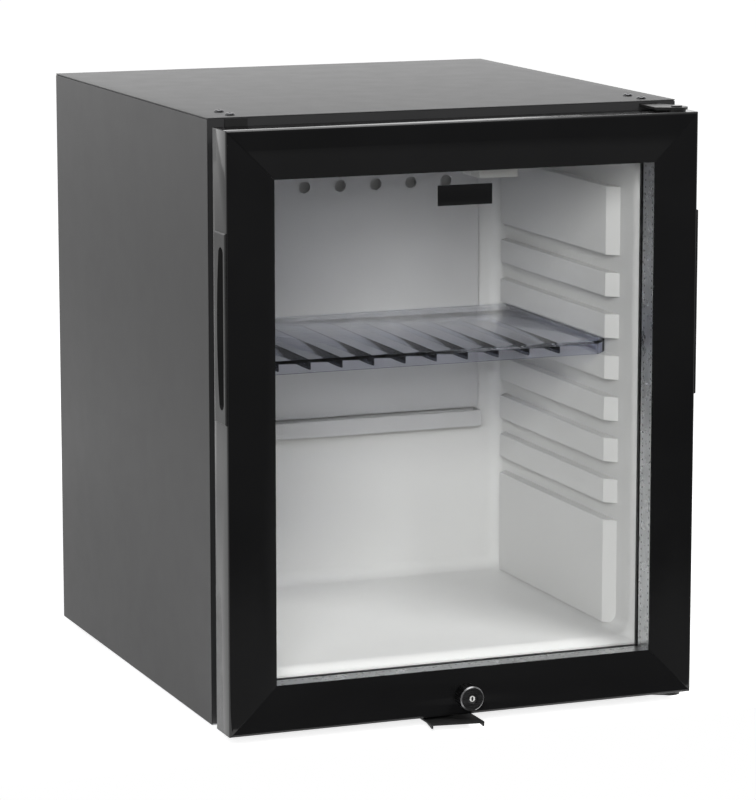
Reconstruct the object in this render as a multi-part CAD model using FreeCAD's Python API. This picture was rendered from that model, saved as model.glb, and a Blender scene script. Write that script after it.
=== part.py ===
import FreeCAD, Part
import math
import os

# Minibar fridge with a glazed, lockable door and a silent absorption cooling unit at the rear.
# Millimetres, +Z up. The door faces -Y and hinges at the right.
# The origin lies on the floor, under the middle of the outer box.

V = FreeCAD.Vector

# Cabinet shell
cabinet_width = 406.0
cabinet_depth = 408.0
cabinet_height = 490.0
sheet = 1.0
seam = 0.4
edge_return = 12.0
rear_space = 85.0
flange_sheet = 1.5
cut_over = 2.0
edge_pick = 0.4

# Feet
foot_height = 10.0
foot_radius = 14.0
foot_taper = 2.0
foot_side_inset = 53.0
foot_front_inset = 60.0
foot_rear_inset = 33.0
foot_well_clear = 0.3

# Inner liner, its flared mouth and its moulded shelf runners
liner_sheet = 2.0
side_insulation = 31.0
floor_insulation = 40.0
ceiling_insulation = 52.0
back_insulation = 33.0
flare_depth = 10.0
flare_step = 5.0
runner_depth = 9.0
runner_front = 37.0
runner_back_gap = 15.0
runner_floor_gap = 3.0
runner_count = 6
runner_low_share = 0.2307
runner_pitch_share = 0.0882
runner_height_share = 0.578
runner_top_share = 0.1445

# Shelf in one of the runner slots
slots_below_shelf_count = 4
shelf_clear = 0.3
shelf_side_clear = 1.5
shelf_front = 52.0
shelf_rear_gap = 18.0
shelf_height = 11.4
shelf_plate = 3.0
shelf_skirt = 2.5
shelf_corner = 10.0
shelf_rib = 1.6
shelf_rib_height = 6.0
shelf_rib_pitch = 27.8
skirt_corner_share = 0.41

# Cold plate, its air holes, and the gutter under it
plate_sheet = 1.5
plate_standoff = 8.0
plate_side_gap = 24.0
plate_top_gap = 14.0
plate_bottom_share = 0.377
plate_hole_radius = 5.3
plate_hole_pitch = 33.3
plate_hole_count = 8
plate_hole_drop = 29.0
gutter_wall = 1.5
gutter_height = 14.0
gutter_depth = 16.0
gutter_below = 2.0

# Lamp on the ceiling
lamp_x = 60.5
lamp_front = 34.0
lamp_width = 34.0
lamp_depth = 40.0
lamp_height = 10.0
lamp_wall = 1.5
lamp_lens = 2.0
lamp_board = 1.6
led_size = 5.0
led_height = 1.5

# Door frame
door_gap = 13.0
door_thickness = 33.0
door_top_drop = 6.0
frame_face = 39.5
frame_bevel = 16.0
frame_bevel_drop = 1.2
frame_round = 2.5
half_share = 0.5
frame_lip = 1.5
frame_rebate = 28.0
frame_wall = 3.0
mitre_gap = 0.1
key_leg = 46.0
key_clear = 0.2

# Glass unit
pane = 3.0
pane_gap = 22.0
pane_clear = 0.5
spacer_inset = 2.5
spacer_inner = 37.0
spacer_wall = 1.0

# Gasket
gasket_inset = 15.0
gasket_width = 14.0
gasket_base = 3.0
gasket_head = 4.2
gasket_head_inset = 1.0
gasket_neck_inset = 3.5
gasket_clear = 0.4

# Finger grips in the door's side faces
grip_proud = 1.5
grip_top = 80.0
grip_height = 152.0
grip_front_inset = 2.0
grip_width = 26.0
grip_round = 1.4
grip_cup_depth = 15.0
grip_cup_margin = 6.0
grip_cup_front = 2.0
grip_cup_rear = 1.0
grip_clear = 0.3
recess_depth = 12.0
recess_height = 129.0
recess_front = 6.0
recess_bulge = 15.0
recess_end = 10.8

# Hinges
hinge_inset = 13.0
hinge_back = 17.0
pin_radius = 3.0
pin_clear = 0.05
pin_length = 14.0
pin_head = 1.0
pin_head_radius = 4.5
bush_wall = 2.0
bush_flange = 1.0
bush_flange_radius = 7.5
bush_clear = 0.05
bracket_sheet = 2.0
bracket_width = 16.0
bracket_arm_radius = 9.0
bracket_clear = 0.3
bracket_pad = 50.0
bracket_pad_start = 5.0
bracket_axis_offset = 11.0
slot_clear = 0.5
plug_margin = 0.9
plug_drop = 3.2
plug_face = 1.0
plug_depth = 6.0
plug_side_clear = 0.05
screw_radius = 2.0
screw_head_radius = 4.0
screw_head = 1.8
dome_share = 0.85
screw_length = 9.0
screw_near = 14.0
screw_far = 40.0

# Lock in the bottom rail, and the keeper under the door
lock_x = 0.0
lock_height = 16.5
lock_proud = 13.0
lock_head_radius = 10.25
lock_head_chamfer = 1.0
lock_body_radius = 6.5
lock_body_length = 15.0
lock_hole_clear = 0.2
lock_nut_radius = 8.2
lock_nut = 3.0
plug_radius = 4.5
plug_clear = 0.05
plug_recess = 0.6
keyway_width = 1.6
keyway_height = 5.6
keyway_depth = 14.0
cam_gap = 0.3
cam_sheet = 2.5
cam_half_width = 5.0
cam_length = 21.5
cam_boss_radius = 3.0
cam_rivet_radius = 4.0
cam_rivet = 1.5
cam_room = 1.0
keeper_sheet = 1.5
keeper_gap = 1.7
keeper_left = 35.0
keeper_right = 8.5
keeper_reach_left = 11.0
keeper_reach_right = 18.0
keeper_pad = 40.0
keeper_pad_start = 6.0
keeper_gusset = 2.5
keeper_gusset_length = 17.0
keeper_screw_shares = (0.25, 0.75)

# Absorption cooling unit in the space behind the back panel
unit_standoff = 42.0
unit_left_gap = 53.0
tube_wall = 1.5
tube_bend_share = 0.45
jacket_side_gap = 83.0
jacket_radius = 32.0
jacket_sheet = 1.2
jacket_bottom = 78.0
jacket_top_gap = 145.0
riser_radius = 9.0
riser_foot_gap = 6.0
riser_top_gap = 30.0
heater_offset = 16.0
heater_radius = 5.5
heater_entry = 10.0
heater_length = 156.0
condenser_radius = 7.0
condenser_top_gap = 45.0
condenser_drop = 50.0
fin_count = 18
fin_sheet = 0.8
fin_left_gap = 35.0
fin_right_gap = 31.0
fin_height = 46.0
fin_depth = 44.0
fin_clear = 0.05
vessel_radius = 28.0
vessel_right_gap = 80.0
vessel_z = 55.0
vessel_wall = 2.0
coil_radius = 9.0
coil_right_gap = 60.0
coil_start_offset = 25.0
coil_first_share = 0.253
coil_pitch_share = 0.0816
coil_pass_count = 4
coil_exit_offset = 55.0
liquid_radius = 6.0
liquid_drop = 14.0
evaporator_radius = 6.0
evaporator_bend_share = 0.8
evaporator_cover = 5.0
evaporator_offset = 20.0
evaporator_step_share = 0.45
pipe_hole_clear = 0.3
clamp_width = 20.0
clamp_height = 12.0
clamp_riser_gap = 85.0
clamp_vessel_offset = 100.0
clamp_seat = 0.3

# Drain and drip pan
drain_radius = 5.0
drain_offset = 120.0
drain_back = 11.0
drain_bend = 9.0
drain_gap = 6.0
pan_wall = 1.5
pan_left_offset = 60.0
pan_right_offset = 20.0
pan_front = 4.0
pan_depth = 66.0
pan_seat = 7.0
pan_rise = 15.0

# Terminal box with the power inlet and the thermostat
box_side_gap = 17.0
box_width = 114.0
box_bottom = 6.0
box_top = 54.0
box_depth = 50.0
box_wall = 2.0
box_lid = 2.5
inlet_offset = 28.0
inlet_width = 27.0
inlet_height = 20.0
inlet_rim = 2.5
inlet_rim_sheet = 2.0
inlet_depth = 18.0
inlet_floor = 3.0
inlet_blade = 2.0
inlet_blade_height = 4.0
inlet_blade_length = 12.0
inlet_blade_pitch = 7.0
inlet_earth_rise = 3.0
thermostat_offset = 24.0
thermostat_size = 30.0
thermostat_depth = 24.0
thermostat_shaft = 3.0
knob_radius = 13.0
knob_height = 12.0
knob_gap = 0.6
knob_grip = 1.0
knob_grip_count = 18
knob_pointer = 2.0
shaft_clear = 0.05
shaft_hole_clear = 0.5

# Places worked out from the sizes above
half_width = cabinet_width / 2
base_z = foot_height
top_z = base_z + cabinet_height
door_reach = door_gap + door_thickness
front_reach = door_reach + max(keeper_reach_left, keeper_reach_right, lock_proud)
front_y = front_reach - (cabinet_depth + front_reach) / 2
rear_y = front_y + cabinet_depth
panel_y = rear_y - rear_space
inner_x = half_width - side_insulation
interior_depth = cabinet_depth - rear_space - back_insulation
interior_height = cabinet_height - floor_insulation - ceiling_insulation
floor_z = base_z + floor_insulation
ceiling_z = top_z - ceiling_insulation
back_y = front_y + interior_depth
door_back = front_y - door_gap
door_front = front_y - door_reach
door_bottom = base_z
door_top = top_z - door_top_drop
hinge_x = half_width - hinge_inset
hinge_y = door_back - hinge_back
runner_low_top = interior_height * runner_low_share
runner_pitch = interior_height * runner_pitch_share
runner_height = runner_pitch * runner_height_share
runner_top_height = interior_height * runner_top_share
slot_height = runner_pitch - runner_height
shelf_depth = interior_depth - shelf_front - shelf_rear_gap
plate_bottom = interior_height * plate_bottom_share
outer_pane_y = door_front + frame_lip
spacer_y = outer_pane_y + pane
inner_pane_y = spacer_y + pane_gap
bead_y = inner_pane_y + pane
unit_y = panel_y + unit_standoff
lock_z = door_bottom + lock_height
lock_face = door_front - lock_proud
lock_body_end = door_front + lock_body_length
cam_y = lock_body_end + cam_gap
unit_left = unit_left_gap - half_width
jacket_x = half_width - jacket_side_gap
condenser_z = top_z - condenser_top_gap
condenser_entry_z = condenser_z - condenser_drop
riser_top_z = condenser_z - riser_top_gap
jacket_low_z = base_z + jacket_bottom
jacket_high_z = condenser_z - jacket_top_gap
heater_x = jacket_x + heater_offset
heater_low_z = base_z + box_top - heater_entry
liquid_x = jacket_x - heater_offset
liquid_z = jacket_low_z - liquid_drop
fin_start = unit_left + fin_left_gap
fin_pitch = (jacket_x - fin_right_gap - fin_start) / (fin_count - 1)
vessel_right = jacket_x - vessel_right_gap
vessel_mid_z = base_z + vessel_z
coil_right = jacket_x - coil_right_gap
coil_pitch = cabinet_height * coil_pitch_share
coil_first_z = base_z + cabinet_height * coil_first_share
coil_exit_z = coil_first_z + coil_pitch * coil_pass_count
coil_exit_x = unit_left + coil_exit_offset
tube_bend = coil_pitch * tube_bend_share
evaporator_left = unit_left + evaporator_offset
evaporator_middle_z = condenser_entry_z - (condenser_entry_z - coil_exit_z) * evaporator_step_share
evaporator_depth = back_insulation - liner_sheet - evaporator_cover - evaporator_radius
evaporator_bend = evaporator_depth * evaporator_bend_share
drain_x = unit_left + drain_offset
pan_top_z = vessel_mid_z + vessel_radius + pan_rise
box_right = half_width - box_side_gap
box_left = box_right - box_width
inlet_x = box_left + inlet_offset
thermostat_x = box_right - thermostat_offset


def box(x0, x1, y0, y1, z0, z1):
    return Part.makeBox(x1 - x0, y1 - y0, z1 - z0, V(x0, y0, z0))


def rod(radius, start, end):
    along = end - start
    return Part.makeCylinder(radius, along.Length, start, along)


def prism(points, along):
    """A closed outline of points, pushed along a vector."""
    return Part.Face(Part.makePolygon(list(points) + [points[0]])).extrude(along)


def plan(points, z0, z1):
    """An outline seen from above, from one height to another."""
    return prism([V(x, y, z0) for x, y in points], V(0, 0, z1 - z0))


def side(points, x0, x1):
    """An outline seen from the side, from one X to another."""
    return prism([V(x0, y, z) for y, z in points], V(x1 - x0, 0, 0))


def elevation(points, y0, y1):
    """An outline seen from the front, from one Y to another."""
    return prism([V(x, y0, z) for x, z in points], V(0, y1 - y0, 0))


def mirrored(shape):
    return shape.mirror(V(0, 0, 0), V(1, 0, 0))


def fused(shapes):
    return shapes[0].multiFuse(shapes[1:]).removeSplitter()


def ring(inset, width, y0, y1):
    """A flat ring that follows the door's outline at a distance from its edge."""
    inner = inset + width
    outside = box(-half_width + inset, half_width - inset, y0, y1, door_bottom + inset, door_top - inset)
    reach = half_width - inner
    hole = box(-reach, reach, y0 - cut_over, y1 + cut_over, door_bottom + inner, door_top - inner)
    return outside.cut(hole)


def bent_path(points, bend):
    """Straight runs joined by tangent arcs of one bend radius."""
    edges = []
    start = points[0]
    for before, corner, after in zip(points, points[1:], points[2:]):
        into = (corner - before).normalize()
        out = (after - corner).normalize()
        turn = into.getAngle(out)
        reach = bend * math.tan(turn / 2)
        arc_start = corner - into * reach
        arc_end = corner + out * reach
        towards = (out - into).normalize()
        middle = corner + towards * (bend / math.cos(turn / 2) - bend)
        edges.append(Part.makeLine(start, arc_start))
        edges.append(Part.Arc(arc_start, middle, arc_end).toShape())
        start = arc_end
    edges.append(Part.makeLine(start, points[-1]))
    return Part.Wire(edges)


def bent_rod(points, bend, radius):
    path = bent_path(points, bend)
    circle = Part.Wire([Part.makeCircle(radius, points[0], points[1] - points[0])])
    return path.makePipeShell([circle], True, True)


def tube(points, bend, radius):
    return bent_rod(points, bend, radius).cut(bent_rod(points, bend, radius - tube_wall))


def domed_screw(x, y, z, way):
    """A round-headed screw whose head stands on z and whose shank goes the other way."""
    head = rod(screw_head_radius, V(x, y, z), V(x, y, z + way * screw_head))
    top = z + way * screw_head
    crown = [e for e in head.Edges if e.Closed and abs(e.CenterOfMass.z - top) < edge_pick]
    head = head.makeFillet(screw_head * dome_share, crown)
    shank = rod(screw_radius, V(x, y, z), V(x, y, z - way * screw_length))
    return fused([head, shank])


# Cabinet shell
def side_panel_left():
    inside = -half_width + sheet
    top = top_z - sheet - seam
    skin = box(-half_width, inside, front_y, rear_y, base_z, top)
    fold = box(-half_width, -half_width + edge_return, rear_y - sheet, rear_y, base_z, top)
    return fused([skin, fold])


def top_panel():
    skin = box(-half_width, half_width, front_y, rear_y, top_z - sheet, top_z)
    reach = half_width - edge_return
    fold = box(-reach, reach, rear_y - sheet, rear_y, top_z - edge_return, top_z)
    below = top_z - cut_over
    above = top_z + cut_over
    holes = [rod(screw_radius, V(x, y, below), V(x, y, above)) for x, y in top_screw_places()]
    return fused([skin, fold]).cut(Part.Compound(holes))


def bottom_panel():
    reach = half_width - sheet
    skin = box(-reach, reach, front_y, panel_y, base_z, base_z + sheet)
    below = base_z - cut_over
    above = base_z + sheet + cut_over
    places = foot_places() + bottom_screw_places() + keeper_screw_places()
    holes = [rod(screw_radius, V(x, y, below), V(x, y, above)) for x, y in places]
    return skin.cut(Part.Compound(holes))


def back_panel():
    reach = half_width - sheet
    skin = box(-reach, reach, panel_y - sheet, panel_y, base_z + sheet, top_z - sheet)
    return skin.cut(Part.Compound(pipes_through_back(pipe_hole_clear)))


def pipes_through_back(clear):
    """The stubs of the pipes that pass the back panel, a little larger than the pipes."""
    inside = V(0, -rear_space, 0)
    outside = V(0, cut_over, 0)
    stubs = []
    for x, z, radius in pipe_places():
        place = V(x, panel_y, z)
        stubs.append(rod(radius + clear, place + inside, place + outside))
    return stubs


def pipe_places():
    return [
        (unit_left, condenser_entry_z, evaporator_radius),
        (coil_exit_x, coil_exit_z, evaporator_radius),
        (drain_x, drain_z(), drain_radius),
    ]


def front_flange():
    reach = half_width - sheet
    mouth = flare_step + liner_sheet
    plate = box(-reach, reach, front_y, front_y + flange_sheet, base_z + sheet, top_z - sheet)
    low_y = front_y - cut_over
    high_y = front_y + flange_sheet + cut_over
    low_z = floor_z - mouth
    high_z = ceiling_z + mouth
    opening = box(-inner_x - mouth, inner_x + mouth, low_y, high_y, low_z, high_z)
    slot = hinge_slot()
    return plate.cut(opening).cut(slot).cut(mirrored(slot))


def hinge_slot():
    """The slot in the flange that the top hinge's arm comes out of."""
    x = hinge_x - bracket_axis_offset
    half = bracket_width / 2 + slot_clear
    low = arm_top_z() - bracket_sheet - slot_clear
    high = arm_top_z() + slot_clear
    return box(x - half, x + half, front_y - cut_over, front_y + flange_sheet + cut_over, low, high)


def hinge_slot_plug():
    x = -hinge_x + bracket_axis_offset
    half = bracket_width / 2 + slot_clear
    low = arm_top_z() - bracket_sheet - slot_clear
    high = arm_top_z() + slot_clear
    wide = half + plug_margin
    face = box(x - wide, x + wide, front_y - plug_face, front_y, low - plug_drop, high + plug_margin)
    narrow = half - plug_side_clear
    body = box(x - narrow, x + narrow, front_y, front_y + plug_depth, low, high)
    return fused([face, body])


def insulation_foam():
    reach = half_width - sheet
    y0 = front_y + flange_sheet
    y1 = panel_y - sheet
    block = box(-reach, reach, y0, y1, base_z + sheet, top_z - sheet)
    return block.cut(liner_envelope())


# Inner liner
def mouth_plan(offset):
    """The liner's inner space seen from above, grown sideways by an offset."""
    wide = inner_x + flare_step + offset
    near = inner_x + offset
    far = back_y + liner_sheet
    throat = front_y + flare_depth
    right = [(wide, front_y), (near, throat), (near, far)]
    left = [(-x, y) for x, y in reversed(right)]
    return right + left


def mouth_side(offset):
    """The liner's inner space seen from the side, grown up and down by an offset."""
    far = back_y + liner_sheet
    throat = front_y + flare_depth
    low = floor_z - offset
    high = ceiling_z + offset
    return [
        (front_y, low - flare_step), (throat, low), (far, low),
        (far, high), (throat, high), (front_y, high + flare_step),
    ]


def liner_envelope():
    """The liner's outside as a solid."""
    return liner_space(liner_sheet)


def liner_space(offset):
    """As high as the liner's outside, and as wide as its inner space grown sideways by an offset."""
    across = plan(mouth_plan(offset), base_z, top_z)
    return across.common(side(mouth_side(liner_sheet), -half_width, half_width))


def liner_right_wall():
    shell = liner_envelope().cut(plan(mouth_plan(0), base_z, top_z))
    right = shell.common(box(0, half_width, front_y, rear_y, base_z, top_z))
    return fused([right] + runners())


def runner_levels():
    """Bottom and top of each runner, from the floor up."""
    levels = [(floor_z + runner_floor_gap, floor_z + runner_low_top)]
    for index in range(runner_count):
        low = slot_bottom(index) + slot_height
        levels.append((low, low + runner_height))
    low = slot_bottom(runner_count) + slot_height
    levels.append((low, low + runner_top_height))
    return levels


def slot_bottom(index):
    return floor_z + runner_low_top + index * runner_pitch


def runners():
    start = front_y + runner_front
    end = back_y - runner_back_gap
    face = inner_x - runner_depth
    outline = [(inner_x, start), (inner_x, end), (face, end - runner_depth), (face, start + runner_depth)]
    return [plan(outline, low, high) for low, high in runner_levels()]


def liner_floor():
    slab = liner_space(0).cut(side(mouth_side(0), -half_width, half_width))
    return slab.common(box(-half_width, half_width, front_y, rear_y, base_z, (floor_z + ceiling_z) / 2))


def liner_ceiling():
    slab = liner_space(0).cut(side(mouth_side(0), -half_width, half_width))
    return slab.common(box(-half_width, half_width, front_y, rear_y, (floor_z + ceiling_z) / 2, top_z))


def liner_back():
    wall = box(-inner_x, inner_x, back_y, back_y + liner_sheet, floor_z, ceiling_z)
    hole = rod(drain_radius, V(drain_x, back_y - cut_over, drain_z()), V(drain_x, panel_y, drain_z()))
    return wall.cut(hole)


# Fittings inside
def cold_plate():
    reach = inner_x - plate_side_gap
    low = floor_z + plate_bottom
    high = ceiling_z - plate_top_gap
    face_y = back_y - plate_standoff
    face = box(-reach, reach, face_y, face_y + plate_sheet, low, high)
    fold = box(-reach, -reach + plate_sheet, face_y, back_y, low, high)
    first = -plate_hole_pitch * (plate_hole_count - 1) / 2
    hole_z = high - plate_hole_drop
    holes = []
    for index in range(plate_hole_count):
        x = first + index * plate_hole_pitch
        start = V(x, face_y - cut_over, hole_z)
        holes.append(rod(plate_hole_radius, start, V(x, back_y - plate_sheet, hole_z)))
    return fused([face, fold, mirrored(fold)]).cut(Part.Compound(holes))


def gutter_top():
    return floor_z + plate_bottom - gutter_below


def drain_z():
    return gutter_top() - gutter_height / 2


def drip_gutter():
    """A trough of flat walls that meet face to face."""
    reach = inner_x - plate_side_gap
    top = gutter_top()
    low = top - gutter_height
    inner_low = low + gutter_wall
    y0 = back_y - gutter_depth
    inner_y0 = y0 + gutter_wall
    inner_y1 = back_y - gutter_wall
    floor = box(-reach, reach, y0, back_y, low, inner_low)
    front = box(-reach, reach, y0, inner_y0, inner_low, top)
    back = box(-reach, reach, inner_y1, back_y, inner_low, top)
    outlet_end = V(drain_x, back_y + cut_over, drain_z())
    outlet = rod(drain_radius - tube_wall, V(drain_x, y0, drain_z()), outlet_end)
    end = box(-reach, -reach + gutter_wall, inner_y0, inner_y1, inner_low, top)
    return Part.Compound([floor, front, back.cut(outlet), end, mirrored(end)])


def lamp_box(inset, z0, z1):
    half = lamp_width / 2 - inset
    y0 = front_y + lamp_front + inset
    y1 = front_y + lamp_front + lamp_depth - inset
    return box(lamp_x - half, lamp_x + half, y0, y1, z0, z1)


def lamp_housing():
    low = ceiling_z - lamp_height
    return lamp_box(0, low, ceiling_z).cut(lamp_box(lamp_wall, low - cut_over, ceiling_z - lamp_wall))


def lamp_lens_plate():
    low = ceiling_z - lamp_height
    return lamp_box(lamp_wall, low, low + lamp_lens)


def led_board():
    top = ceiling_z - lamp_wall
    board = lamp_box(lamp_wall, top - lamp_board, top)
    y = front_y + lamp_front + lamp_depth / 2
    half = led_size / 2
    low = top - lamp_board - led_height
    led = box(lamp_x - half, lamp_x + half, y - half, y + half, low, top - lamp_board)
    return fused([board, led])


def shelf():
    reach = inner_x - shelf_side_clear
    front_half = reach - shelf_corner
    y0 = front_y + shelf_front
    y1 = y0 + shelf_depth
    low = slot_bottom(slots_below_shelf_count) + shelf_clear
    high = low + shelf_height
    outline = shelf_outline(front_half, reach, y0, y1)
    inset = shelf_skirt
    inner = shelf_outline(front_half - inset * skirt_corner_share, reach - inset, y0 + inset, y1 - inset)
    tray = plan(outline, low, high).cut(plan(inner, low - cut_over, high - shelf_plate))
    count = int((front_half - inset) // shelf_rib_pitch)
    ribs = []
    for index in range(-count, count):
        x = (index + half_share) * shelf_rib_pitch
        half = shelf_rib / 2
        rib_low = high - shelf_plate - shelf_rib_height
        ribs.append(box(x - half, x + half, y0 + inset, y1 - inset, rib_low, high - shelf_plate))
    return fused([tray] + ribs)


def shelf_outline(front_half, reach, y0, y1):
    corner = y0 + shelf_corner
    right = [(front_half, y0), (reach, corner), (reach, y1)]
    return right + [(-x, y) for x, y in reversed(right)]


# Door frame
def frame_wire(to_point):
    """The frame's section: a rounded outer corner, a bevel, a flat face and a rebate for the glass."""
    edge = door_front + frame_bevel_drop
    turn = frame_round * (1 - math.sqrt(half_share))
    lines = [
        (0, edge + frame_round), (turn, edge + turn), (frame_round, edge), (frame_bevel, door_front),
        (frame_face, door_front), (frame_face, door_front + frame_lip),
        (frame_rebate, door_front + frame_lip), (frame_rebate, door_back), (0, door_back),
    ]
    spots = [to_point(u, y) for u, y in lines]
    edges = [Part.Arc(spots[0], spots[1], spots[2]).toShape()]
    rest = spots[2:] + [spots[0]]
    for start, end in zip(rest, rest[1:]):
        edges.append(Part.makeLine(start, end))
    return Part.Wire(edges)


def chamber_limits():
    """The hollow of the frame's section: nearest and furthest from the edge, front and back."""
    far = frame_rebate - frame_wall
    return frame_wall, far, door_front + frame_bevel_drop + frame_wall, door_back - frame_wall


def chamber_wire(to_point):
    near, far, front, back = chamber_limits()
    spots = [to_point(u, y) for u, y in ((near, front), (far, front), (far, back), (near, back))]
    return Part.makePolygon(spots + [spots[0]])


def frame_bar(to_point, along):
    solid = Part.Face(frame_wire(to_point)).extrude(along)
    hollow = Part.Face(chamber_wire(to_point)).extrude(along)
    return solid.cut(hollow)


def mitred(bar, points):
    return bar.common(elevation(points, door_front - cut_over, door_back + cut_over))


def stile_left():
    bar = frame_bar(lambda u, y: V(-half_width + u, y, door_bottom), V(0, 0, door_top - door_bottom))
    low = door_bottom + mitre_gap
    high = door_top - mitre_gap
    inner = -half_width + frame_face
    trapezium = [
        (-half_width, low), (inner, low + frame_face),
        (inner, high - frame_face), (-half_width, high),
    ]
    return mitred(bar, trapezium).cut(grip_pocket())


def rail_outline(z0, z1):
    left = -half_width + mitre_gap
    inner = left + frame_face
    return [(left, z0), (inner, z1), (-inner, z1), (-left, z0)]


def rail_top():
    bar = frame_bar(lambda u, y: V(-half_width, y, door_top - u), V(cabinet_width, 0, 0))
    bar = mitred(bar, rail_outline(door_top, door_top - frame_face))
    return bar.cut(bush_hole(door_top))


def rail_bottom():
    bar = frame_bar(lambda u, y: V(-half_width, y, door_bottom + u), V(cabinet_width, 0, 0))
    bar = mitred(bar, rail_outline(door_bottom, door_bottom + frame_face))
    bore = rod(
        lock_body_radius + lock_hole_clear,
        V(lock_x, door_front - cut_over, lock_z), V(lock_x, door_front + lock_body_length, lock_z),
    )
    return bar.cut(bush_hole(door_bottom)).cut(bore).cut(cam_slot())


def cam_slot():
    """The slot in the bottom rail's underside that the turned cam comes out of."""
    left = lock_x - cam_length - cam_room
    right = lock_x + cam_half_width + cam_room
    y0 = cam_y - cam_room
    y1 = cam_y + cam_sheet + cam_room
    return box(left, right, y0, y1, door_bottom - cut_over, door_bottom + frame_wall + cut_over)


def bush_radius():
    return pin_radius + pin_clear + bush_wall


def bush_hole(z):
    reach = pin_length + cut_over
    radius = bush_radius() + bush_clear
    return rod(radius, V(hinge_x, hinge_y, z - reach), V(hinge_x, hinge_y, z + reach))


def corner_keys():
    """Angle pieces that join the hollow rails and stiles at the corners."""
    near, far, front, back = chamber_limits()
    y0 = front + key_clear
    y1 = back - key_clear
    a = near + key_clear
    b = far - key_clear
    left = -half_width
    low = door_bottom
    across = box(left + a, left + key_leg, y0, y1, low + a, low + b)
    upright = box(left + a, left + b, y0, y1, low + a, low + key_leg)
    bottom_left = fused([across, upright])
    middle = (door_bottom + door_top) / 2
    top_left = bottom_left.mirror(V(0, 0, middle), V(0, 0, 1))
    bored = Part.Compound([bush_hole(door_bottom), bush_hole(door_top)])
    right = [mirrored(key).cut(bored) for key in (bottom_left, top_left)]
    return Part.Compound([bottom_left, top_left] + right)


# Glass unit, bead and gasket
def pane_solid(y0):
    inset = frame_rebate + pane_clear
    reach = half_width - inset
    return box(-reach, reach, y0, y0 + pane, door_bottom + inset, door_top - inset)


def spacer_bar():
    outer = frame_rebate + pane_clear + spacer_inset
    solid = ring(outer, spacer_inner - outer, spacer_y, inner_pane_y)
    hollow_y0 = spacer_y + spacer_wall
    hollow_y1 = inner_pane_y - spacer_wall
    hollow = ring(outer + spacer_wall, spacer_inner - outer - spacer_wall * 2, hollow_y0, hollow_y1)
    return solid.cut(hollow)


def pane_sealant():
    return ring(frame_rebate + pane_clear, spacer_inset, spacer_y, inner_pane_y)


def glazing_bead():
    return ring(frame_rebate, spacer_inner - frame_rebate, bead_y, door_back)


def door_gasket():
    end = front_y - gasket_clear
    base = ring(gasket_inset, gasket_width, door_back, door_back + gasket_base)
    neck_width = gasket_width - gasket_neck_inset * 2
    neck = ring(gasket_inset + gasket_neck_inset, neck_width, door_back + gasket_base, end - gasket_head)
    head_width = gasket_width - gasket_head_inset * 2
    head = ring(gasket_inset + gasket_head_inset, head_width, end - gasket_head, end)
    return fused([base, neck, head])


# Finger grips
def grip_limits():
    y0 = door_front + grip_front_inset
    high = door_top - grip_top
    return y0, y0 + grip_width, high - grip_height, high


def grip_cup(grow):
    y0, y1, low, high = grip_limits()
    left = -half_width - grow * cut_over
    x1 = -half_width + grip_cup_depth + grow
    a = y0 + grip_cup_front - grow
    b = y1 - grip_cup_rear + grow
    return box(left, x1, a, b, low + grip_cup_margin - grow, high - grip_cup_margin + grow)


def grip_pocket():
    return grip_cup(grip_clear)


def grip_left():
    y0, y1, low, high = grip_limits()
    plate = box(-half_width - grip_proud, -half_width, y0, y1, low, high)
    outside = -half_width - grip_proud
    outer = [e for e in plate.Edges if all(abs(v.X - outside) < edge_pick for v in e.Vertexes)]
    plate = plate.makeFillet(grip_round, outer)
    return fused([plate, grip_cup(0)]).cut(finger_recess())


def finger_recess():
    """A long hollow with round ends, straight at the front and bowed towards the rear."""
    y0, _, low, high = grip_limits()
    middle = (low + high) / 2
    x = -half_width - grip_proud - cut_over
    line_y = y0 + recess_front - grip_front_inset
    round_end = recess_end / 2
    half = recess_height / 2 - round_end
    across = V(0, recess_end, 0)
    low_end = V(x, line_y, middle - half)
    high_end = V(x, line_y, middle + half)
    low_tip = low_end + V(0, round_end, -round_end)
    high_tip = high_end + V(0, round_end, round_end)
    bottom = Part.Arc(low_end, low_tip, low_end + across).toShape()
    bow = Part.Arc(low_end + across, V(x, line_y + recess_bulge, middle), high_end + across).toShape()
    top = Part.Arc(high_end + across, high_tip, high_end).toShape()
    lens = Part.Face(Part.Wire([bottom, bow, top, Part.makeLine(high_end, low_end)]))
    return lens.extrude(V(recess_depth + grip_proud + cut_over, 0, 0))


# Hinges
def arm_top_z():
    """Top of the upper hinge's arm, which lies in the gap over the door."""
    return door_top + bush_flange + bracket_clear + bracket_sheet


def bracket(arm_low, pad_low):
    """A hinge plate: a pad on the cabinet, a step, and an arm that reaches out to the pin."""
    x = hinge_x - bracket_axis_offset
    x0 = x - bracket_width / 2
    x1 = x + bracket_width / 2
    arm_high = arm_low + bracket_sheet
    pad_high = pad_low + bracket_sheet
    start = front_y + bracket_pad_start
    pad = box(x0, x1, start, front_y + bracket_pad, pad_low, pad_high)
    step = box(x0, x1, start, start + bracket_sheet, min(arm_low, pad_low), max(arm_high, pad_high))
    arm = box(x0, x1, hinge_y, start + bracket_sheet, arm_low, arm_high)
    nose = rod(bracket_arm_radius, V(hinge_x, hinge_y, arm_low), V(hinge_x, hinge_y, arm_high))
    web_points = [
        (x0, hinge_y), (hinge_x, hinge_y - bracket_arm_radius),
        (hinge_x + bracket_arm_radius, hinge_y), (x1, front_y - bracket_clear - slot_clear),
    ]
    web = plan(web_points, arm_low, arm_high)
    below = V(hinge_x, hinge_y, arm_low - cut_over)
    above = V(hinge_x, hinge_y, arm_high + cut_over)
    return fused([pad, step, arm, nose, web]).cut(rod(pin_radius, below, above))


def hinge_bracket_top():
    plate = bracket(arm_top_z() - bracket_sheet, top_z - sheet - bracket_sheet)
    return plate.cut(Part.Compound(top_screw_list()))


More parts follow.
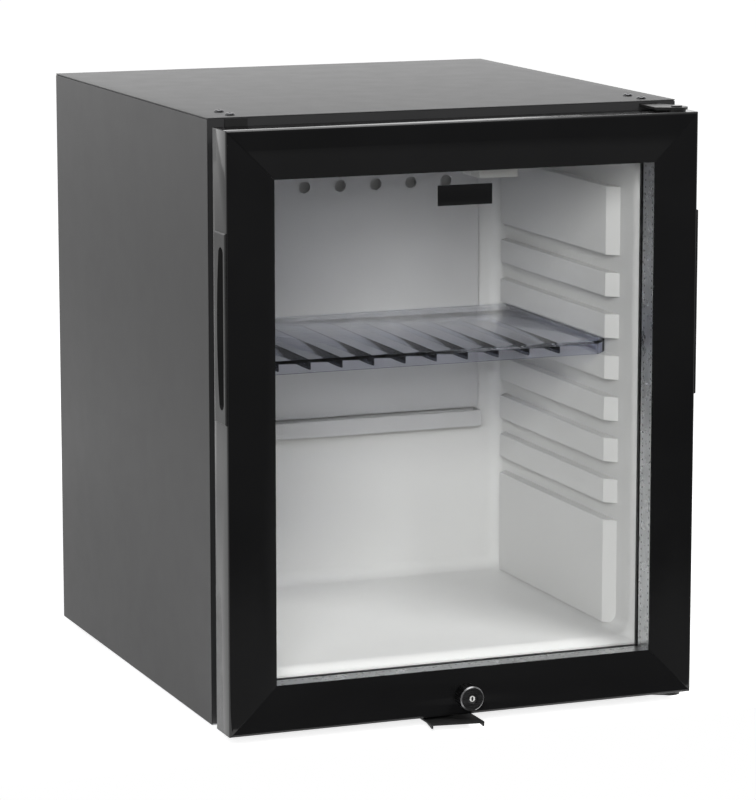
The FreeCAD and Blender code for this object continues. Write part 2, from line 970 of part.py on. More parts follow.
def hinge_bracket_bottom():
    arm_low = door_bottom - bush_flange - bracket_clear - bracket_sheet
    plate = bracket(arm_low, base_z - bracket_sheet)
    return plate.cut(Part.Compound(bottom_screw_list()))


def hinge_pin(door_edge, way):
    """A headed pin through a bracket's arm into the door's bush."""
    arm_near = door_edge + way * (bush_flange + bracket_clear)
    arm_far = arm_near + way * bracket_sheet
    inner = door_edge - way * pin_length
    shank = rod(pin_radius, V(hinge_x, hinge_y, inner), V(hinge_x, hinge_y, arm_far))
    head_end = V(hinge_x, hinge_y, arm_far + way * pin_head)
    head = rod(pin_head_radius, V(hinge_x, hinge_y, arm_far), head_end)
    return fused([shank, head])


def hinge_bush(door_edge, way):
    inner = V(hinge_x, hinge_y, door_edge - way * (pin_length + bush_flange))
    outer = V(hinge_x, hinge_y, door_edge + way * bush_flange)
    body = rod(bush_radius(), inner, outer)
    flange = rod(bush_flange_radius, V(hinge_x, hinge_y, door_edge), outer)
    bottom = V(hinge_x, hinge_y, door_edge - way * (pin_length + bush_flange / 2))
    bore = rod(pin_radius + pin_clear, bottom, outer)
    return fused([body, flange]).cut(bore)


def top_screw_places():
    x = hinge_x - bracket_axis_offset
    near = front_y + screw_near
    far = front_y + screw_far
    return [(x, near), (x, far), (-x, near), (-x, far)]


def top_screw_list():
    return [domed_screw(x, y, top_z, 1) for x, y in top_screw_places()]


def bottom_screw_places():
    x = hinge_x - bracket_axis_offset
    return [(x, front_y + screw_near), (x, front_y + screw_far)]


def bottom_screw_list():
    return [domed_screw(x, y, base_z - bracket_sheet, -1) for x, y in bottom_screw_places()]


# Lock and keeper
def lock_barrel():
    head = rod(lock_head_radius, V(lock_x, lock_face, lock_z), V(lock_x, door_front, lock_z))
    rim = [e for e in head.Edges if e.Closed and abs(e.CenterOfMass.y - lock_face) < edge_pick]
    head = head.makeChamfer(lock_head_chamfer, rim)
    body = rod(lock_body_radius, V(lock_x, door_front, lock_z), V(lock_x, lock_body_end, lock_z))
    bore = rod(
        plug_radius + plug_clear,
        V(lock_x, lock_face - cut_over, lock_z), V(lock_x, lock_body_end + cut_over, lock_z),
    )
    return fused([head, body]).cut(bore)


def lock_nut_ring():
    _, _, front, _ = chamber_limits()
    near = V(lock_x, front, lock_z)
    far = V(lock_x, front + lock_nut, lock_z)
    over = V(0, cut_over, 0)
    return rod(lock_nut_radius, near, far).cut(rod(lock_body_radius, near - over, far + over))


def lock_plug():
    face = lock_face + plug_recess
    body = rod(plug_radius, V(lock_x, face, lock_z), V(lock_x, cam_y, lock_z))
    boss = rod(cam_boss_radius, V(lock_x, cam_y, lock_z), V(lock_x, cam_y + cam_sheet, lock_z))
    half_w = keyway_width / 2
    half_h = keyway_height / 2
    keyway = box(
        lock_x - half_w, lock_x + half_w, face - cut_over, face + keyway_depth,
        lock_z - half_h, lock_z + half_h,
    )
    end = cam_y + cam_sheet
    rivet = rod(cam_rivet_radius, V(lock_x, end, lock_z), V(lock_x, end + cam_rivet, lock_z))
    return fused([body, boss, rivet]).cut(keyway)


def lock_cam():
    tip = lock_x - cam_length + cam_half_width
    near = V(lock_x, cam_y, lock_z)
    far = V(lock_x, cam_y + cam_sheet, lock_z)
    over = V(0, cut_over, 0)
    hub = rod(cam_half_width, near, far)
    arm = box(tip, lock_x, cam_y, cam_y + cam_sheet, lock_z - cam_half_width, lock_z + cam_half_width)
    nose = rod(cam_half_width, V(tip, cam_y, lock_z), V(tip, cam_y + cam_sheet, lock_z))
    return fused([hub, arm, nose]).cut(rod(cam_boss_radius, near - over, far + over))


def keeper_screw_places():
    y = front_y + keeper_pad_start + keeper_pad / 2
    left = lock_x - keeper_left
    width = keeper_left + keeper_right
    return [(left + width * share, y) for share in keeper_screw_shares]


def keeper_screw_list():
    return [domed_screw(x, y, base_z - keeper_sheet, -1) for x, y in keeper_screw_places()]


def lock_keeper():
    """A plate under the cabinet that reaches out under the door, with a slot for the cam."""
    left = lock_x - keeper_left
    right = lock_x + keeper_right
    pad_y0 = front_y + keeper_pad_start
    high = base_z - keeper_gap
    low = high - keeper_sheet
    pad = box(left, right, pad_y0, pad_y0 + keeper_pad, base_z - keeper_sheet, base_z)
    step = box(left, right, pad_y0, pad_y0 + keeper_sheet, low, base_z)
    left_y = door_front - keeper_reach_left
    right_y = door_front - keeper_reach_right
    back = pad_y0 + keeper_sheet
    tongue = plan([(left, left_y), (right, right_y), (right, back), (left, back)], low, high)
    gussets = []
    for x0, x1, tip in ((left, left + keeper_sheet, left_y), (right - keeper_sheet, right, right_y)):
        end = tip + keeper_gusset_length
        outline = [(tip, high), (tip, low - keeper_gusset), (end, low), (end, high)]
        gussets.append(side(outline, x0, x1))
    slot_left = lock_x - cam_length + cam_half_width
    slot = box(
        slot_left, lock_x + cam_half_width + cam_room,
        cam_y - cam_room, cam_y + cam_sheet + cam_room, low - cut_over, high + cut_over,
    )
    plate = fused([pad, step, tongue] + gussets)
    return plate.cut(slot).cut(Part.Compound(keeper_screw_list()))


# Feet
def foot_places():
    x = half_width - foot_side_inset
    near = front_y + foot_front_inset
    far = panel_y - foot_rear_inset
    return [(x, near), (-x, near), (x, far), (-x, far)]


def foot(x, y):
    cone = Part.makeCone(foot_radius - foot_taper, foot_radius, foot_height, V(x, y, 0), V(0, 0, 1))
    screw = foot_screw(x, y)
    well = rod(screw_head_radius + foot_well_clear, V(x, y, -cut_over), V(x, y, foot_height / 2))
    return cone.cut(well).cut(screw)


def foot_screw(x, y):
    return domed_screw(x, y, foot_height / 2, -1)


# Cooling unit
def boiler_jacket():
    low = V(jacket_x, unit_y, jacket_low_z)
    high = V(jacket_x, unit_y, jacket_high_z)
    skin = V(0, 0, jacket_sheet)
    over = V(0, 0, cut_over)
    outside = rod(jacket_radius, low, high)
    space = rod(jacket_radius - jacket_sheet, low + skin, high - skin)
    riser = rod(riser_radius + pipe_hole_clear, high - skin - over, high + over)
    aside = V(heater_offset, 0, 0)
    heater = rod(heater_radius + pipe_hole_clear, low + aside - over, low + aside + skin + over)
    liquid = rod(liquid_radius + pipe_hole_clear, low - aside - over, low - aside + skin + over)
    return outside.cut(space).cut(riser).cut(heater).cut(liquid)


def vapour_riser():
    low = V(jacket_x, unit_y, jacket_low_z + riser_foot_gap)
    high = V(jacket_x, unit_y, riser_top_z)
    return rod(riser_radius, low, high).cut(rod(riser_radius - tube_wall, low, high))


def heater_cartridge():
    low = V(heater_x, unit_y, heater_low_z)
    return rod(heater_radius, low, low + V(0, 0, heater_length))


def condenser_tube():
    points = [
        V(jacket_x, unit_y, riser_top_z), V(jacket_x, unit_y, condenser_z),
        V(unit_left, unit_y, condenser_z), V(unit_left, unit_y, condenser_entry_z),
        V(unit_left, panel_y, condenser_entry_z),
    ]
    return tube(points, tube_bend, condenser_radius)


def condenser_fins():
    y0 = unit_y - fin_depth / 2
    z0 = condenser_z - fin_height / 2
    fins = []
    for index in range(fin_count):
        x = fin_start + index * fin_pitch
        fin = box(x, x + fin_sheet, y0, y0 + fin_depth, z0, z0 + fin_height)
        before = V(x - cut_over, unit_y, condenser_z)
        after = V(x + fin_sheet + cut_over, unit_y, condenser_z)
        fins.append(fin.cut(rod(condenser_radius + fin_clear, before, after)))
    return Part.Compound(fins)


def vessel_rod(radius, inset):
    left = V(unit_left + inset, unit_y, vessel_mid_z)
    return rod(radius, left, V(vessel_right - inset, unit_y, vessel_mid_z))


def absorber_vessel():
    shell = vessel_rod(vessel_radius, 0).cut(vessel_rod(vessel_radius - vessel_wall, vessel_wall))
    shell = shell.cut(bent_rod(coil_points(), tube_bend, coil_radius))
    return fused([shell, liquid_pipe()])


def coil_points():
    """A serpentine from the vessel's top up to the entry in the back panel."""
    x = unit_left + coil_start_offset
    points = [V(x, unit_y, vessel_mid_z + vessel_radius - vessel_wall)]
    for index in range(coil_pass_count):
        z = coil_first_z + index * coil_pitch
        points.append(V(x, unit_y, z))
        x = unit_left if index % 2 else coil_right
        points.append(V(x, unit_y, z))
    points.append(V(x, unit_y, coil_exit_z))
    points.append(V(coil_exit_x, unit_y, coil_exit_z))
    points.append(V(coil_exit_x, panel_y, coil_exit_z))
    return points


def absorber_coil():
    return tube(coil_points(), tube_bend, coil_radius)


def liquid_pipe():
    end_z = jacket_low_z + jacket_sheet * 2
    points = [V(vessel_right, unit_y, liquid_z), V(liquid_x, unit_y, liquid_z), V(liquid_x, unit_y, end_z)]
    return tube(points, liquid_radius + tube_wall, liquid_radius)


def evaporator_points():
    y = panel_y - evaporator_depth
    top = condenser_entry_z
    middle = evaporator_middle_z
    return [
        V(unit_left, panel_y, top), V(unit_left, y, top), V(jacket_x, y, top),
        V(jacket_x, y, middle), V(evaporator_left, y, middle), V(evaporator_left, y, coil_exit_z),
        V(coil_exit_x, y, coil_exit_z), V(coil_exit_x, panel_y, coil_exit_z),
    ]


def evaporator_coil():
    return tube(evaporator_points(), evaporator_bend, evaporator_radius)


def unit_clamps():
    """Saddles that hold the riser and the vessel to the back panel."""
    half = clamp_width / 2
    half_height = clamp_height / 2
    z = riser_top_z - clamp_riser_gap + half_height
    at_riser = box(jacket_x - half, jacket_x + half, panel_y, unit_y, z - half_height, z + half_height)
    below = V(jacket_x, unit_y, z - clamp_height)
    riser = rod(riser_radius + clamp_seat, below, V(jacket_x, unit_y, z + clamp_height))
    x = unit_left + clamp_vessel_offset
    low = vessel_mid_z - half_height
    at_vessel = box(x - half, x + half, panel_y, unit_y, low, low + clamp_height)
    return Part.Compound([at_riser.cut(riser), at_vessel.cut(vessel_rod(vessel_radius + clamp_seat, 0))])


# Drain
def drain_points():
    y = panel_y + drain_back
    return [V(drain_x, back_y, drain_z()), V(drain_x, y, drain_z()), V(drain_x, y, pan_top_z + drain_gap)]


def drain_tube():
    return tube(drain_points(), drain_bend, drain_radius)


def drip_pan():
    y0 = panel_y + pan_front
    y1 = y0 + pan_depth
    left = unit_left + pan_left_offset
    right = vessel_right - pan_right_offset
    seat = vessel_mid_z + vessel_radius + clamp_seat
    outside = box(left, right, y0, y1, seat - pan_seat, pan_top_z)
    wall = pan_wall
    space = box(left + wall, right - wall, y0 + wall, y1 - wall, seat + wall, pan_top_z + cut_over)
    return outside.cut(space).cut(vessel_rod(vessel_radius + clamp_seat, 0))


# Terminal box
def terminal_box():
    y1 = panel_y + box_depth
    low = base_z + box_bottom
    high = base_z + box_top
    outside = box(box_left, box_right, panel_y, y1, low, high)
    inset = box_wall
    left = box_left + inset
    right = box_right - inset
    space = box(left, right, panel_y + inset, y1 + cut_over, low + inset, high - inset)
    below = V(heater_x, unit_y, low + inset * 2)
    heater = rod(heater_radius + pipe_hole_clear, below, V(heater_x, unit_y, high + cut_over))
    return outside.cut(space).cut(heater)


def box_middle_z():
    return base_z + (box_bottom + box_top) / 2


def terminal_lid():
    y0 = panel_y + box_depth
    lid = box(box_left, box_right, y0, y0 + box_lid, base_z + box_bottom, base_z + box_top)
    before = y0 - cut_over
    after = y0 + box_lid + cut_over
    z = box_middle_z()
    radius = thermostat_shaft + shaft_hole_clear
    shaft = rod(radius, V(thermostat_x, before, z), V(thermostat_x, after, z))
    return lid.cut(shaft).cut(inlet_block(0, before, after))


def inlet_block(grow, y0, y1):
    half_w = inlet_width / 2 + grow
    half_h = inlet_height / 2 + grow
    z = box_middle_z()
    return box(inlet_x - half_w, inlet_x + half_w, y0, y1, z - half_h, z + half_h)


def power_inlet():
    """A flush inlet for a removable lead, with two live blades and an earth blade."""
    face = panel_y + box_depth + box_lid
    body = inlet_block(0, face - inlet_depth, face)
    rim = inlet_block(inlet_rim, face, face + inlet_rim_sheet)
    well = inlet_block(-inlet_rim, face - inlet_depth + inlet_floor, face + inlet_rim_sheet + cut_over)
    shell = fused([body, rim]).cut(well)
    root = face - inlet_depth
    half = inlet_blade / 2
    tall = inlet_blade_height / 2
    blades = []
    for index in (-1, 0, 1):
        x = inlet_x + index * inlet_blade_pitch
        z = box_middle_z() + (inlet_earth_rise if index == 0 else -inlet_earth_rise)
        blades.append(box(x - half, x + half, root, root + inlet_blade_length, z - tall, z + tall))
    return fused([shell] + blades)


def thermostat():
    face = panel_y + box_depth
    half = thermostat_size / 2
    z = box_middle_z()
    body = box(thermostat_x - half, thermostat_x + half, face - thermostat_depth, face, z - half, z + half)
    end = face + box_lid + knob_gap + knob_height / 2
    shaft = rod(thermostat_shaft, V(thermostat_x, face, z), V(thermostat_x, end, z))
    return fused([body, shaft])


def thermostat_knob():
    y0 = panel_y + box_depth + box_lid + knob_gap
    z = box_middle_z()
    centre = V(thermostat_x, y0, z)
    body = rod(knob_radius, centre, centre + V(0, knob_height, 0))
    grooves = []
    for index in range(knob_grip_count):
        angle = 2 * math.pi * index / knob_grip_count
        place = centre + V(math.cos(angle), 0, math.sin(angle)) * knob_radius
        grooves.append(rod(knob_grip, place + V(0, knob_gap, 0), place + V(0, knob_height + cut_over, 0)))
    pointer = box(
        thermostat_x - knob_pointer / 2, thermostat_x + knob_pointer / 2,
        y0 + knob_height - knob_pointer / 2, y0 + knob_height + cut_over,
        z, z + knob_radius + cut_over,
    )
    bore_end = centre + V(0, knob_height / 2 + knob_gap, 0)
    bore = rod(thermostat_shaft + shaft_clear, centre - V(0, cut_over, 0), bore_end)
    return body.cut(Part.Compound(grooves)).cut(pointer).cut(bore)


def foam_with_pockets(others):
    """The foam fills round everything that is let into it."""
    evaporator = bent_rod(evaporator_points(), evaporator_bend, evaporator_radius)
    drain = rod(drain_radius, V(drain_x, back_y, drain_z()), V(drain_x, panel_y, drain_z()))
    return insulation_foam().cut(evaporator).cut(drain).cut(Part.Compound(others))


def build():
    screws = top_screw_list() + bottom_screw_list() + keeper_screw_list()
    screws += [foot_screw(x, y) for x, y in foot_places()]
    bracket_top = hinge_bracket_top()
    plug = hinge_slot_plug()
    right_wall = liner_right_wall()
    left_stile = stile_left()
    left_grip = grip_left()
    left_side = side_panel_left()
    nodes = {
        "side_panel_left": left_side,
        "side_panel_right": mirrored(left_side),
        "top_panel": top_panel(),
        "bottom_panel": bottom_panel(),
        "back_panel": back_panel(),
        "front_flange": front_flange(),
        "hinge_slot_plug": plug,
        "liner_right_wall": right_wall,
        "liner_left_wall": mirrored(right_wall),
        "liner_floor": liner_floor(),
        "liner_ceiling": liner_ceiling(),
        "liner_back": liner_back(),
        "cold_plate": cold_plate(),
        "drip_gutter": drip_gutter(),
        "lamp_housing": lamp_housing(),
        "lamp_lens": lamp_lens_plate(),
        "led_board": led_board(),
        "shelf": shelf(),
        "rail_top": rail_top(),
        "rail_bottom": rail_bottom(),
        "stile_left": left_stile,
        "stile_right": mirrored(left_stile),
        "corner_keys": corner_keys(),
        "outer_pane": pane_solid(outer_pane_y),
        "inner_pane": pane_solid(inner_pane_y),
        "spacer_bar": spacer_bar(),
        "pane_sealant": pane_sealant(),
        "glazing_bead": glazing_bead(),
        "door_gasket": door_gasket(),
        "grip_left": left_grip,
        "grip_right": mirrored(left_grip),
        "hinge_bracket_top": bracket_top,
        "hinge_bracket_bottom": hinge_bracket_bottom(),
        "hinge_pins": Part.Compound([hinge_pin(door_top, 1), hinge_pin(door_bottom, -1)]),
        "hinge_bushes": Part.Compound([hinge_bush(door_top, 1), hinge_bush(door_bottom, -1)]),
        "lock_barrel": lock_barrel(),
        "lock_nut": lock_nut_ring(),
        "lock_plug": lock_plug(),
        "lock_cam": lock_cam(),
        "lock_keeper": lock_keeper(),
        "feet": Part.Compound([foot(x, y) for x, y in foot_places()]),
        "screws": Part.Compound(screws),
        "boiler_jacket": boiler_jacket(),
        "vapour_riser": vapour_riser(),
        "heater_cartridge": heater_cartridge(),
        "condenser_tube": condenser_tube(),
        "condenser_fins": condenser_fins(),
        "absorber_vessel": absorber_vessel(),
        "absorber_coil": absorber_coil(),
        "evaporator_coil": evaporator_coil(),
        "unit_clamps": unit_clamps(),
        "drain_tube": drain_tube(),
        "drip_pan": drip_pan(),
        "terminal_box": terminal_box(),
        "terminal_lid": terminal_lid(),
        "power_inlet": power_inlet(),
        "thermostat": thermostat(),
        "thermostat_knob": thermostat_knob(),
    }
    nodes["insulation_foam"] = foam_with_pockets(screws + [bracket_top, plug])
    return nodes


os.makedirs("parts", exist_ok=True)
for name, shape in build().items():
    shape.exportStep("parts/" + name + ".step")
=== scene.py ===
import math

import bpy
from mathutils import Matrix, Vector


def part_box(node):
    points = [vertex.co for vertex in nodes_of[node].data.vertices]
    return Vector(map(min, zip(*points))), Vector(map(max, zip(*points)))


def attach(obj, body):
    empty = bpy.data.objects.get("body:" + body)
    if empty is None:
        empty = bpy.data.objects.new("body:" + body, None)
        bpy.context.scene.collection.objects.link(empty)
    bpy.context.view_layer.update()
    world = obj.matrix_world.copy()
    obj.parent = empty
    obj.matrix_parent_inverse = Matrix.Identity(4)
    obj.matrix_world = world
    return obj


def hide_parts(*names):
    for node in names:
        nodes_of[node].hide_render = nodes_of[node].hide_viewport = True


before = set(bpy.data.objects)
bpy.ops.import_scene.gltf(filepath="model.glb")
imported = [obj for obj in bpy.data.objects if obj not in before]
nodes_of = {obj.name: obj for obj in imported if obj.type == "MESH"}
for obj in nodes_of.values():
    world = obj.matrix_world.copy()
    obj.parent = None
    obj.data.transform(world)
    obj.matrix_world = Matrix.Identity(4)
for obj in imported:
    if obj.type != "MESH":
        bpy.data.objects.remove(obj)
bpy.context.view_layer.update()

# Axes, what counts as the same place or direction, and how far a cutter runs past; lengths are in metres
X, Y, Z = 0, 1, 2
SAME = 0.00001
SAME_LEVEL = 0.000002
LEVEL_DIGITS = 6
RUNS_ALONG = 0.0001
EMPTY_EDGE = 0.000001
FACING = 0.99
OVERRUN = 0.01


# Modelling by hand: pick, shape, soften, settle
def deselect():
    if bpy.context.object and bpy.context.object.mode != "OBJECT":
        bpy.ops.object.mode_set(mode="OBJECT")
    bpy.ops.object.select_all(action="DESELECT")


def activate(piece):
    deselect()
    piece.select_set(True)
    bpy.context.view_layer.objects.active = piece


def settle(piece, name=None):
    """The piece's place goes into its mesh, and its object back to the origin."""
    activate(piece)
    bpy.ops.object.transform_apply(location=True, rotation=True, scale=True)
    if name:
        piece.name = name
        piece.data.name = name
    return piece


def block(name, low, high):
    deselect()
    centre = [(a + b) / 2 for a, b in zip(low, high)]
    bpy.ops.mesh.primitive_cube_add(size=1, location=centre)
    piece = bpy.context.object
    piece.scale = [b - a for a, b in zip(low, high)]
    return settle(piece, name)


def drum(name, radius, start, end, sides=48):
    """A round bar between two points."""
    deselect()
    start, end = Vector(start), Vector(end)
    along = end - start
    turn = Vector((0, 0, 1)).rotation_difference(along).to_euler()
    bpy.ops.mesh.primitive_cylinder_add(
        vertices=sides, radius=radius, depth=along.length, location=(start + end) / 2, rotation=turn)
    return settle(bpy.context.object, name)


def pick(piece, kind, wanted):
    """Edit mode, with the vertices, edges or faces that are wanted selected."""
    activate(piece)
    bpy.ops.object.mode_set(mode="EDIT")
    bpy.ops.mesh.select_mode(type=kind)
    bpy.ops.mesh.select_all(action="DESELECT")
    bpy.ops.object.mode_set(mode="OBJECT")
    mesh = piece.data
    for item in {"VERT": mesh.vertices, "EDGE": mesh.edges, "FACE": mesh.polygons}[kind]:
        item.select = wanted(mesh, item)
    bpy.ops.object.mode_set(mode="EDIT")


def shaped():
    bpy.ops.object.mode_set(mode="OBJECT")


def everything(mesh, item):
    return True


def both(first, second):
    return lambda mesh, item: first(mesh, item) and second(mesh, item)


def edge_at(axis, value, span=None):
    """Edges that lie in a plane across an axis, or only those of them that run along another axis."""
    def wanted(mesh, edge):
        ends = [mesh.vertices[index].co for index in edge.vertices]
        flat = all(abs(end[axis] - value) < SAME for end in ends)
        return flat and (span is None or abs(ends[0][span] - ends[1][span]) > RUNS_ALONG)
    return wanted


def face_towards(x, y, z):
    way = Vector((x, y, z))
    return lambda mesh, face: face.normal.dot(way) > FACING


def vert_at(axis, value, near=SAME):
    return lambda mesh, vert: abs(vert.co[axis] - value) < near


def levels_along(piece, axis):
    return sorted({round(vert.co[axis], LEVEL_DIGITS) for vert in piece.data.vertices})


def draw_out(x, y, z):
    """The picked faces are pulled out, with walls behind them."""
    bpy.ops.mesh.extrude_region_move(TRANSFORM_OT_translate={"value": (x, y, z)})


def draw_edges(x, y, z):
    bpy.ops.mesh.extrude_edges_move(TRANSFORM_OT_translate={"value": (x, y, z)})


def shift(x, y, z):
    bpy.ops.transform.translate(value=(x, y, z))


def cut_edges(width, segments=1):
    bpy.ops.mesh.bevel(offset=width, segments=segments, affect="EDGES")


def score(piece, place, across):
    """A line of new edges round the piece."""
    pick(piece, "FACE", everything)
    bpy.ops.mesh.bisect(plane_co=place, plane_no=across)
    shaped()


def face_outwards(piece):
    pick(piece, "FACE", everything)
    bpy.ops.mesh.normals_make_consistent(inside=False)
    shaped()


def apply_modifier(piece, kind, **settings):
    activate(piece)
    modifier = piece.modifiers.new(kind.lower(), kind)
    for key, value in settings.items():
        setattr(modifier, key, value)
    bpy.ops.object.modifier_apply(modifier=modifier.name)


def smooth(piece, angle=35):
    activate(piece)
    bpy.ops.object.shade_smooth_by_angle(angle=math.radians(angle))


def soften(piece, width, segments=2, angle=30):
    """Rounded edges, without the empty faces that a tight corner leaves."""
    apply_modifier(
        piece, "BEVEL", width=width, segments=segments, limit_method="ANGLE",
        angle_limit=math.radians(angle), use_clamp_overlap=True)
    pick(piece, "FACE", everything)
    bpy.ops.mesh.dissolve_degenerate(threshold=EMPTY_EDGE)
    shaped()
    smooth(piece)


def discard(piece):
    activate(piece)
    bpy.ops.object.delete()


def cut_away(piece, cutter):
    apply_modifier(piece, "BOOLEAN", object=cutter, operation="DIFFERENCE", solver="EXACT")
    discard(cutter)


def joined(pieces, name):
    deselect()
    for piece in pieces:
        piece.select_set(True)
    bpy.context.view_layer.objects.active = pieces[0]
    bpy.ops.object.join()
    return settle(bpy.context.object, name)


def twin_of(piece):
    activate(piece)
    bpy.ops.object.duplicate(linked=False)
    return bpy.context.object


def copied(piece, move, turn=(0, 0, 0), name=None):
    """A copy with its own mesh, turned by degrees about the axes and then moved."""
    twin = twin_of(piece)
    twin.rotation_euler = [math.radians(angle) for angle in turn]
    twin.location = move
    return settle(twin, name)


def mirror_x(piece, name=None):
    """A copy on the other side of the middle, with its faces turned right again."""
    twin = twin_of(piece)
    twin.scale.x = -1
    settle(twin, name)
    face_outwards(twin)
    return twin


# Finishes
WHITE = (1, 1, 1, 1)
NOISE_LOW = 0.3
NOISE_HIGH = 0.7


class Nodes:
    """A node tree, with short ways to add to it."""

    def __init__(self, tree):
        self.tree = tree

    def feed(self, socket, value):
        """A link from another node, or a constant on the node's own socket."""
        if isinstance(value, bpy.types.NodeSocket):
            self.tree.links.new(value, socket)
        else:
            socket.default_value = value

    def add(self, kind, **values):
        node = self.tree.nodes.new(kind)
        for key, value in values.items():
            self.feed(node.inputs[key.replace("_", " ")], value)
        return node

    def math(self, operation, first, second):
        node = self.add("ShaderNodeMath")
        node.operation = operation
        self.feed(node.inputs[0], first)
        self.feed(node.inputs[1], second)
        return node.outputs["Value"]

    def spread(self, source, first, last, start=NOISE_LOW, end=NOISE_HIGH):
        """First where the source is at the start or before it, last at the end or past it."""
        node = self.add(
            "ShaderNodeMapRange", Value=source, From_Min=start, From_Max=end, To_Min=first, To_Max=last)
        return node.outputs["Result"]

    def mixed(self, share, first, second):
        node = self.add("ShaderNodeMixShader", Fac=share)
        self.tree.links.new(first, node.inputs[1])
        self.tree.links.new(second, node.inputs[2])
        return node.outputs["Shader"]

    def surface(self, output, shader):
        self.tree.links.new(shader, self.tree.nodes[output].inputs["Surface"])


class Finish(Nodes):
    """A procedural material on Object coordinates."""

    def __init__(self, name):
        self.material = bpy.data.materials.new(name)
        self.material.use_nodes = True
        super().__init__(self.material.node_tree)
        self.shader = self.tree.nodes["Principled BSDF"]
        self.place = self.add("ShaderNodeTexCoord").outputs["Object"]

    def set(self, **values):
        for key, value in values.items():
            self.feed(self.shader.inputs[key.replace("_", " ")], value)
        return self

    def stretched(self, x, y, z):
        return self.add("ShaderNodeMapping", Vector=self.place, Scale=(x, y, z)).outputs["Vector"]

    def noise(self, scale, detail=3.0, place=None):
        node = self.add("ShaderNodeTexNoise", Vector=place or self.place, Scale=scale, Detail=detail)
        return node.outputs["Fac"]

    def between(self, source, first, second, start=NOISE_LOW, end=NOISE_HIGH):
        ramp = self.add("ShaderNodeValToRGB", Fac=source)
        ramp.color_ramp.elements[0].position = start
        ramp.color_ramp.elements[1].position = end
        ramp.color_ramp.elements[0].color = (*first, 1)
        ramp.color_ramp.elements[1].color = (*second, 1)
        return ramp.outputs["Color"]

    def relief(self, source, strength, depth):
        bump = self.add("ShaderNodeBump", Height=source, Strength=strength, Distance=depth)
        return self.set(Normal=bump.outputs["Normal"])


def coated(name, dark, light, rough, cells, depth, mottle=14.0, metal=0.0, shine=0.5):
    """Paint or moulded plastic: a little mottled, with a fine skin."""
    cloud_detail = 4.0
    skin_detail = 2.0
    skin_strength = 0.25
    patches_per_cloud = 3
    finish = Finish(name)
    cloud = finish.noise(mottle, cloud_detail)
    skin = finish.noise(cells, skin_detail)
    finish.set(Base_Color=finish.between(cloud, dark, light), Metallic=metal, Specular_IOR_Level=shine)
    finish.set(Roughness=finish.spread(finish.noise(mottle * patches_per_cloud), *rough))
    return finish.relief(skin, skin_strength, depth)


def brushed(name, colour, rough, grain):
    """Bare metal with a drawn grain."""
    dark_share = 0.8
    strength = 0.15
    depth = 0.0001
    finish = Finish(name)
    lines = finish.noise(scale=1.0, place=finish.stretched(*grain))
    darker = tuple(c * dark_share for c in colour)
    finish.set(Base_Color=finish.between(lines, darker, colour), Metallic=1.0)
    finish.set(Roughness=finish.spread(lines, *rough))
    return finish.relief(lines, strength, depth)


def zinc_sheet(name, dark, light, rough, cells):
    """Galvanised sheet with its spangle."""
    tone_low = 0.2
    tone_high = 0.8
    finish = Finish(name)
    spangle = finish.add("ShaderNodeTexVoronoi", Vector=finish.place, Scale=cells).outputs["Color"]
    tone = finish.add("ShaderNodeRGBToBW", Color=spangle).outputs["Val"]
    finish.set(Base_Color=finish.between(tone, dark, light, tone_low, tone_high), Metallic=1.0)
    return finish.set(Roughness=finish.spread(tone, *rough))


def see_through(name, tint, mirror_share, rough):
    """Clear sheet: it passes light with a slight tint and mirrors its surroundings by angle."""
    smear_scale = 6.0
    smear_detail = 4.0
    smear_share = 0.996
    patch_scale = 9.0
    steepness = 5.0
    finish = Finish(name)
    finish.tree.nodes.remove(finish.shader)
    smeared = tuple(c * smear_share for c in tint)
    smear = finish.between(finish.noise(smear_scale, smear_detail), smeared, tint)
    clear = finish.add("ShaderNodeBsdfTransparent", Color=smear).outputs["BSDF"]
    patches = finish.spread(finish.noise(patch_scale), *rough)
    mirror = finish.add("ShaderNodeBsdfGlossy", Color=WHITE, Roughness=patches).outputs["BSDF"]
    slant = finish.add("ShaderNodeLayerWeight", Blend=0.5).outputs["Facing"]
    grazing = finish.math("POWER", slant, steepness)
    gloss = finish.spread(grazing, first=mirror_share, last=1.0, start=0.0, end=1.0)
    finish.surface("Material Output", finish.mixed(gloss, clear, mirror))
    return finish


def clear_moulding(name, dark, light, bend, rough):
    """Clear moulded plastic with a tint; lamps shine through it."""
    cloud_scale = 25.0
    patch_scale = 40.0
    wave_scale = 60.0
    wave_strength = 0.2
    wave_depth = 0.0004
    finish = Finish(name)
    finish.set(Base_Color=finish.between(finish.noise(cloud_scale), dark, light), IOR=bend)
    finish.set(Transmission_Weight=1.0, Roughness=finish.spread(finish.noise(patch_scale), *rough))
    finish.relief(finish.noise(wave_scale), wave_strength, wave_depth)
    lamps = finish.add("ShaderNodeLightPath").outputs["Is Shadow Ray"]
    clear = finish.add("ShaderNodeBsdfTransparent", Color=(*light, 1)).outputs["BSDF"]
    finish.surface("Material Output", finish.mixed(lamps, finish.shader.outputs["BSDF"], clear))
    return finish


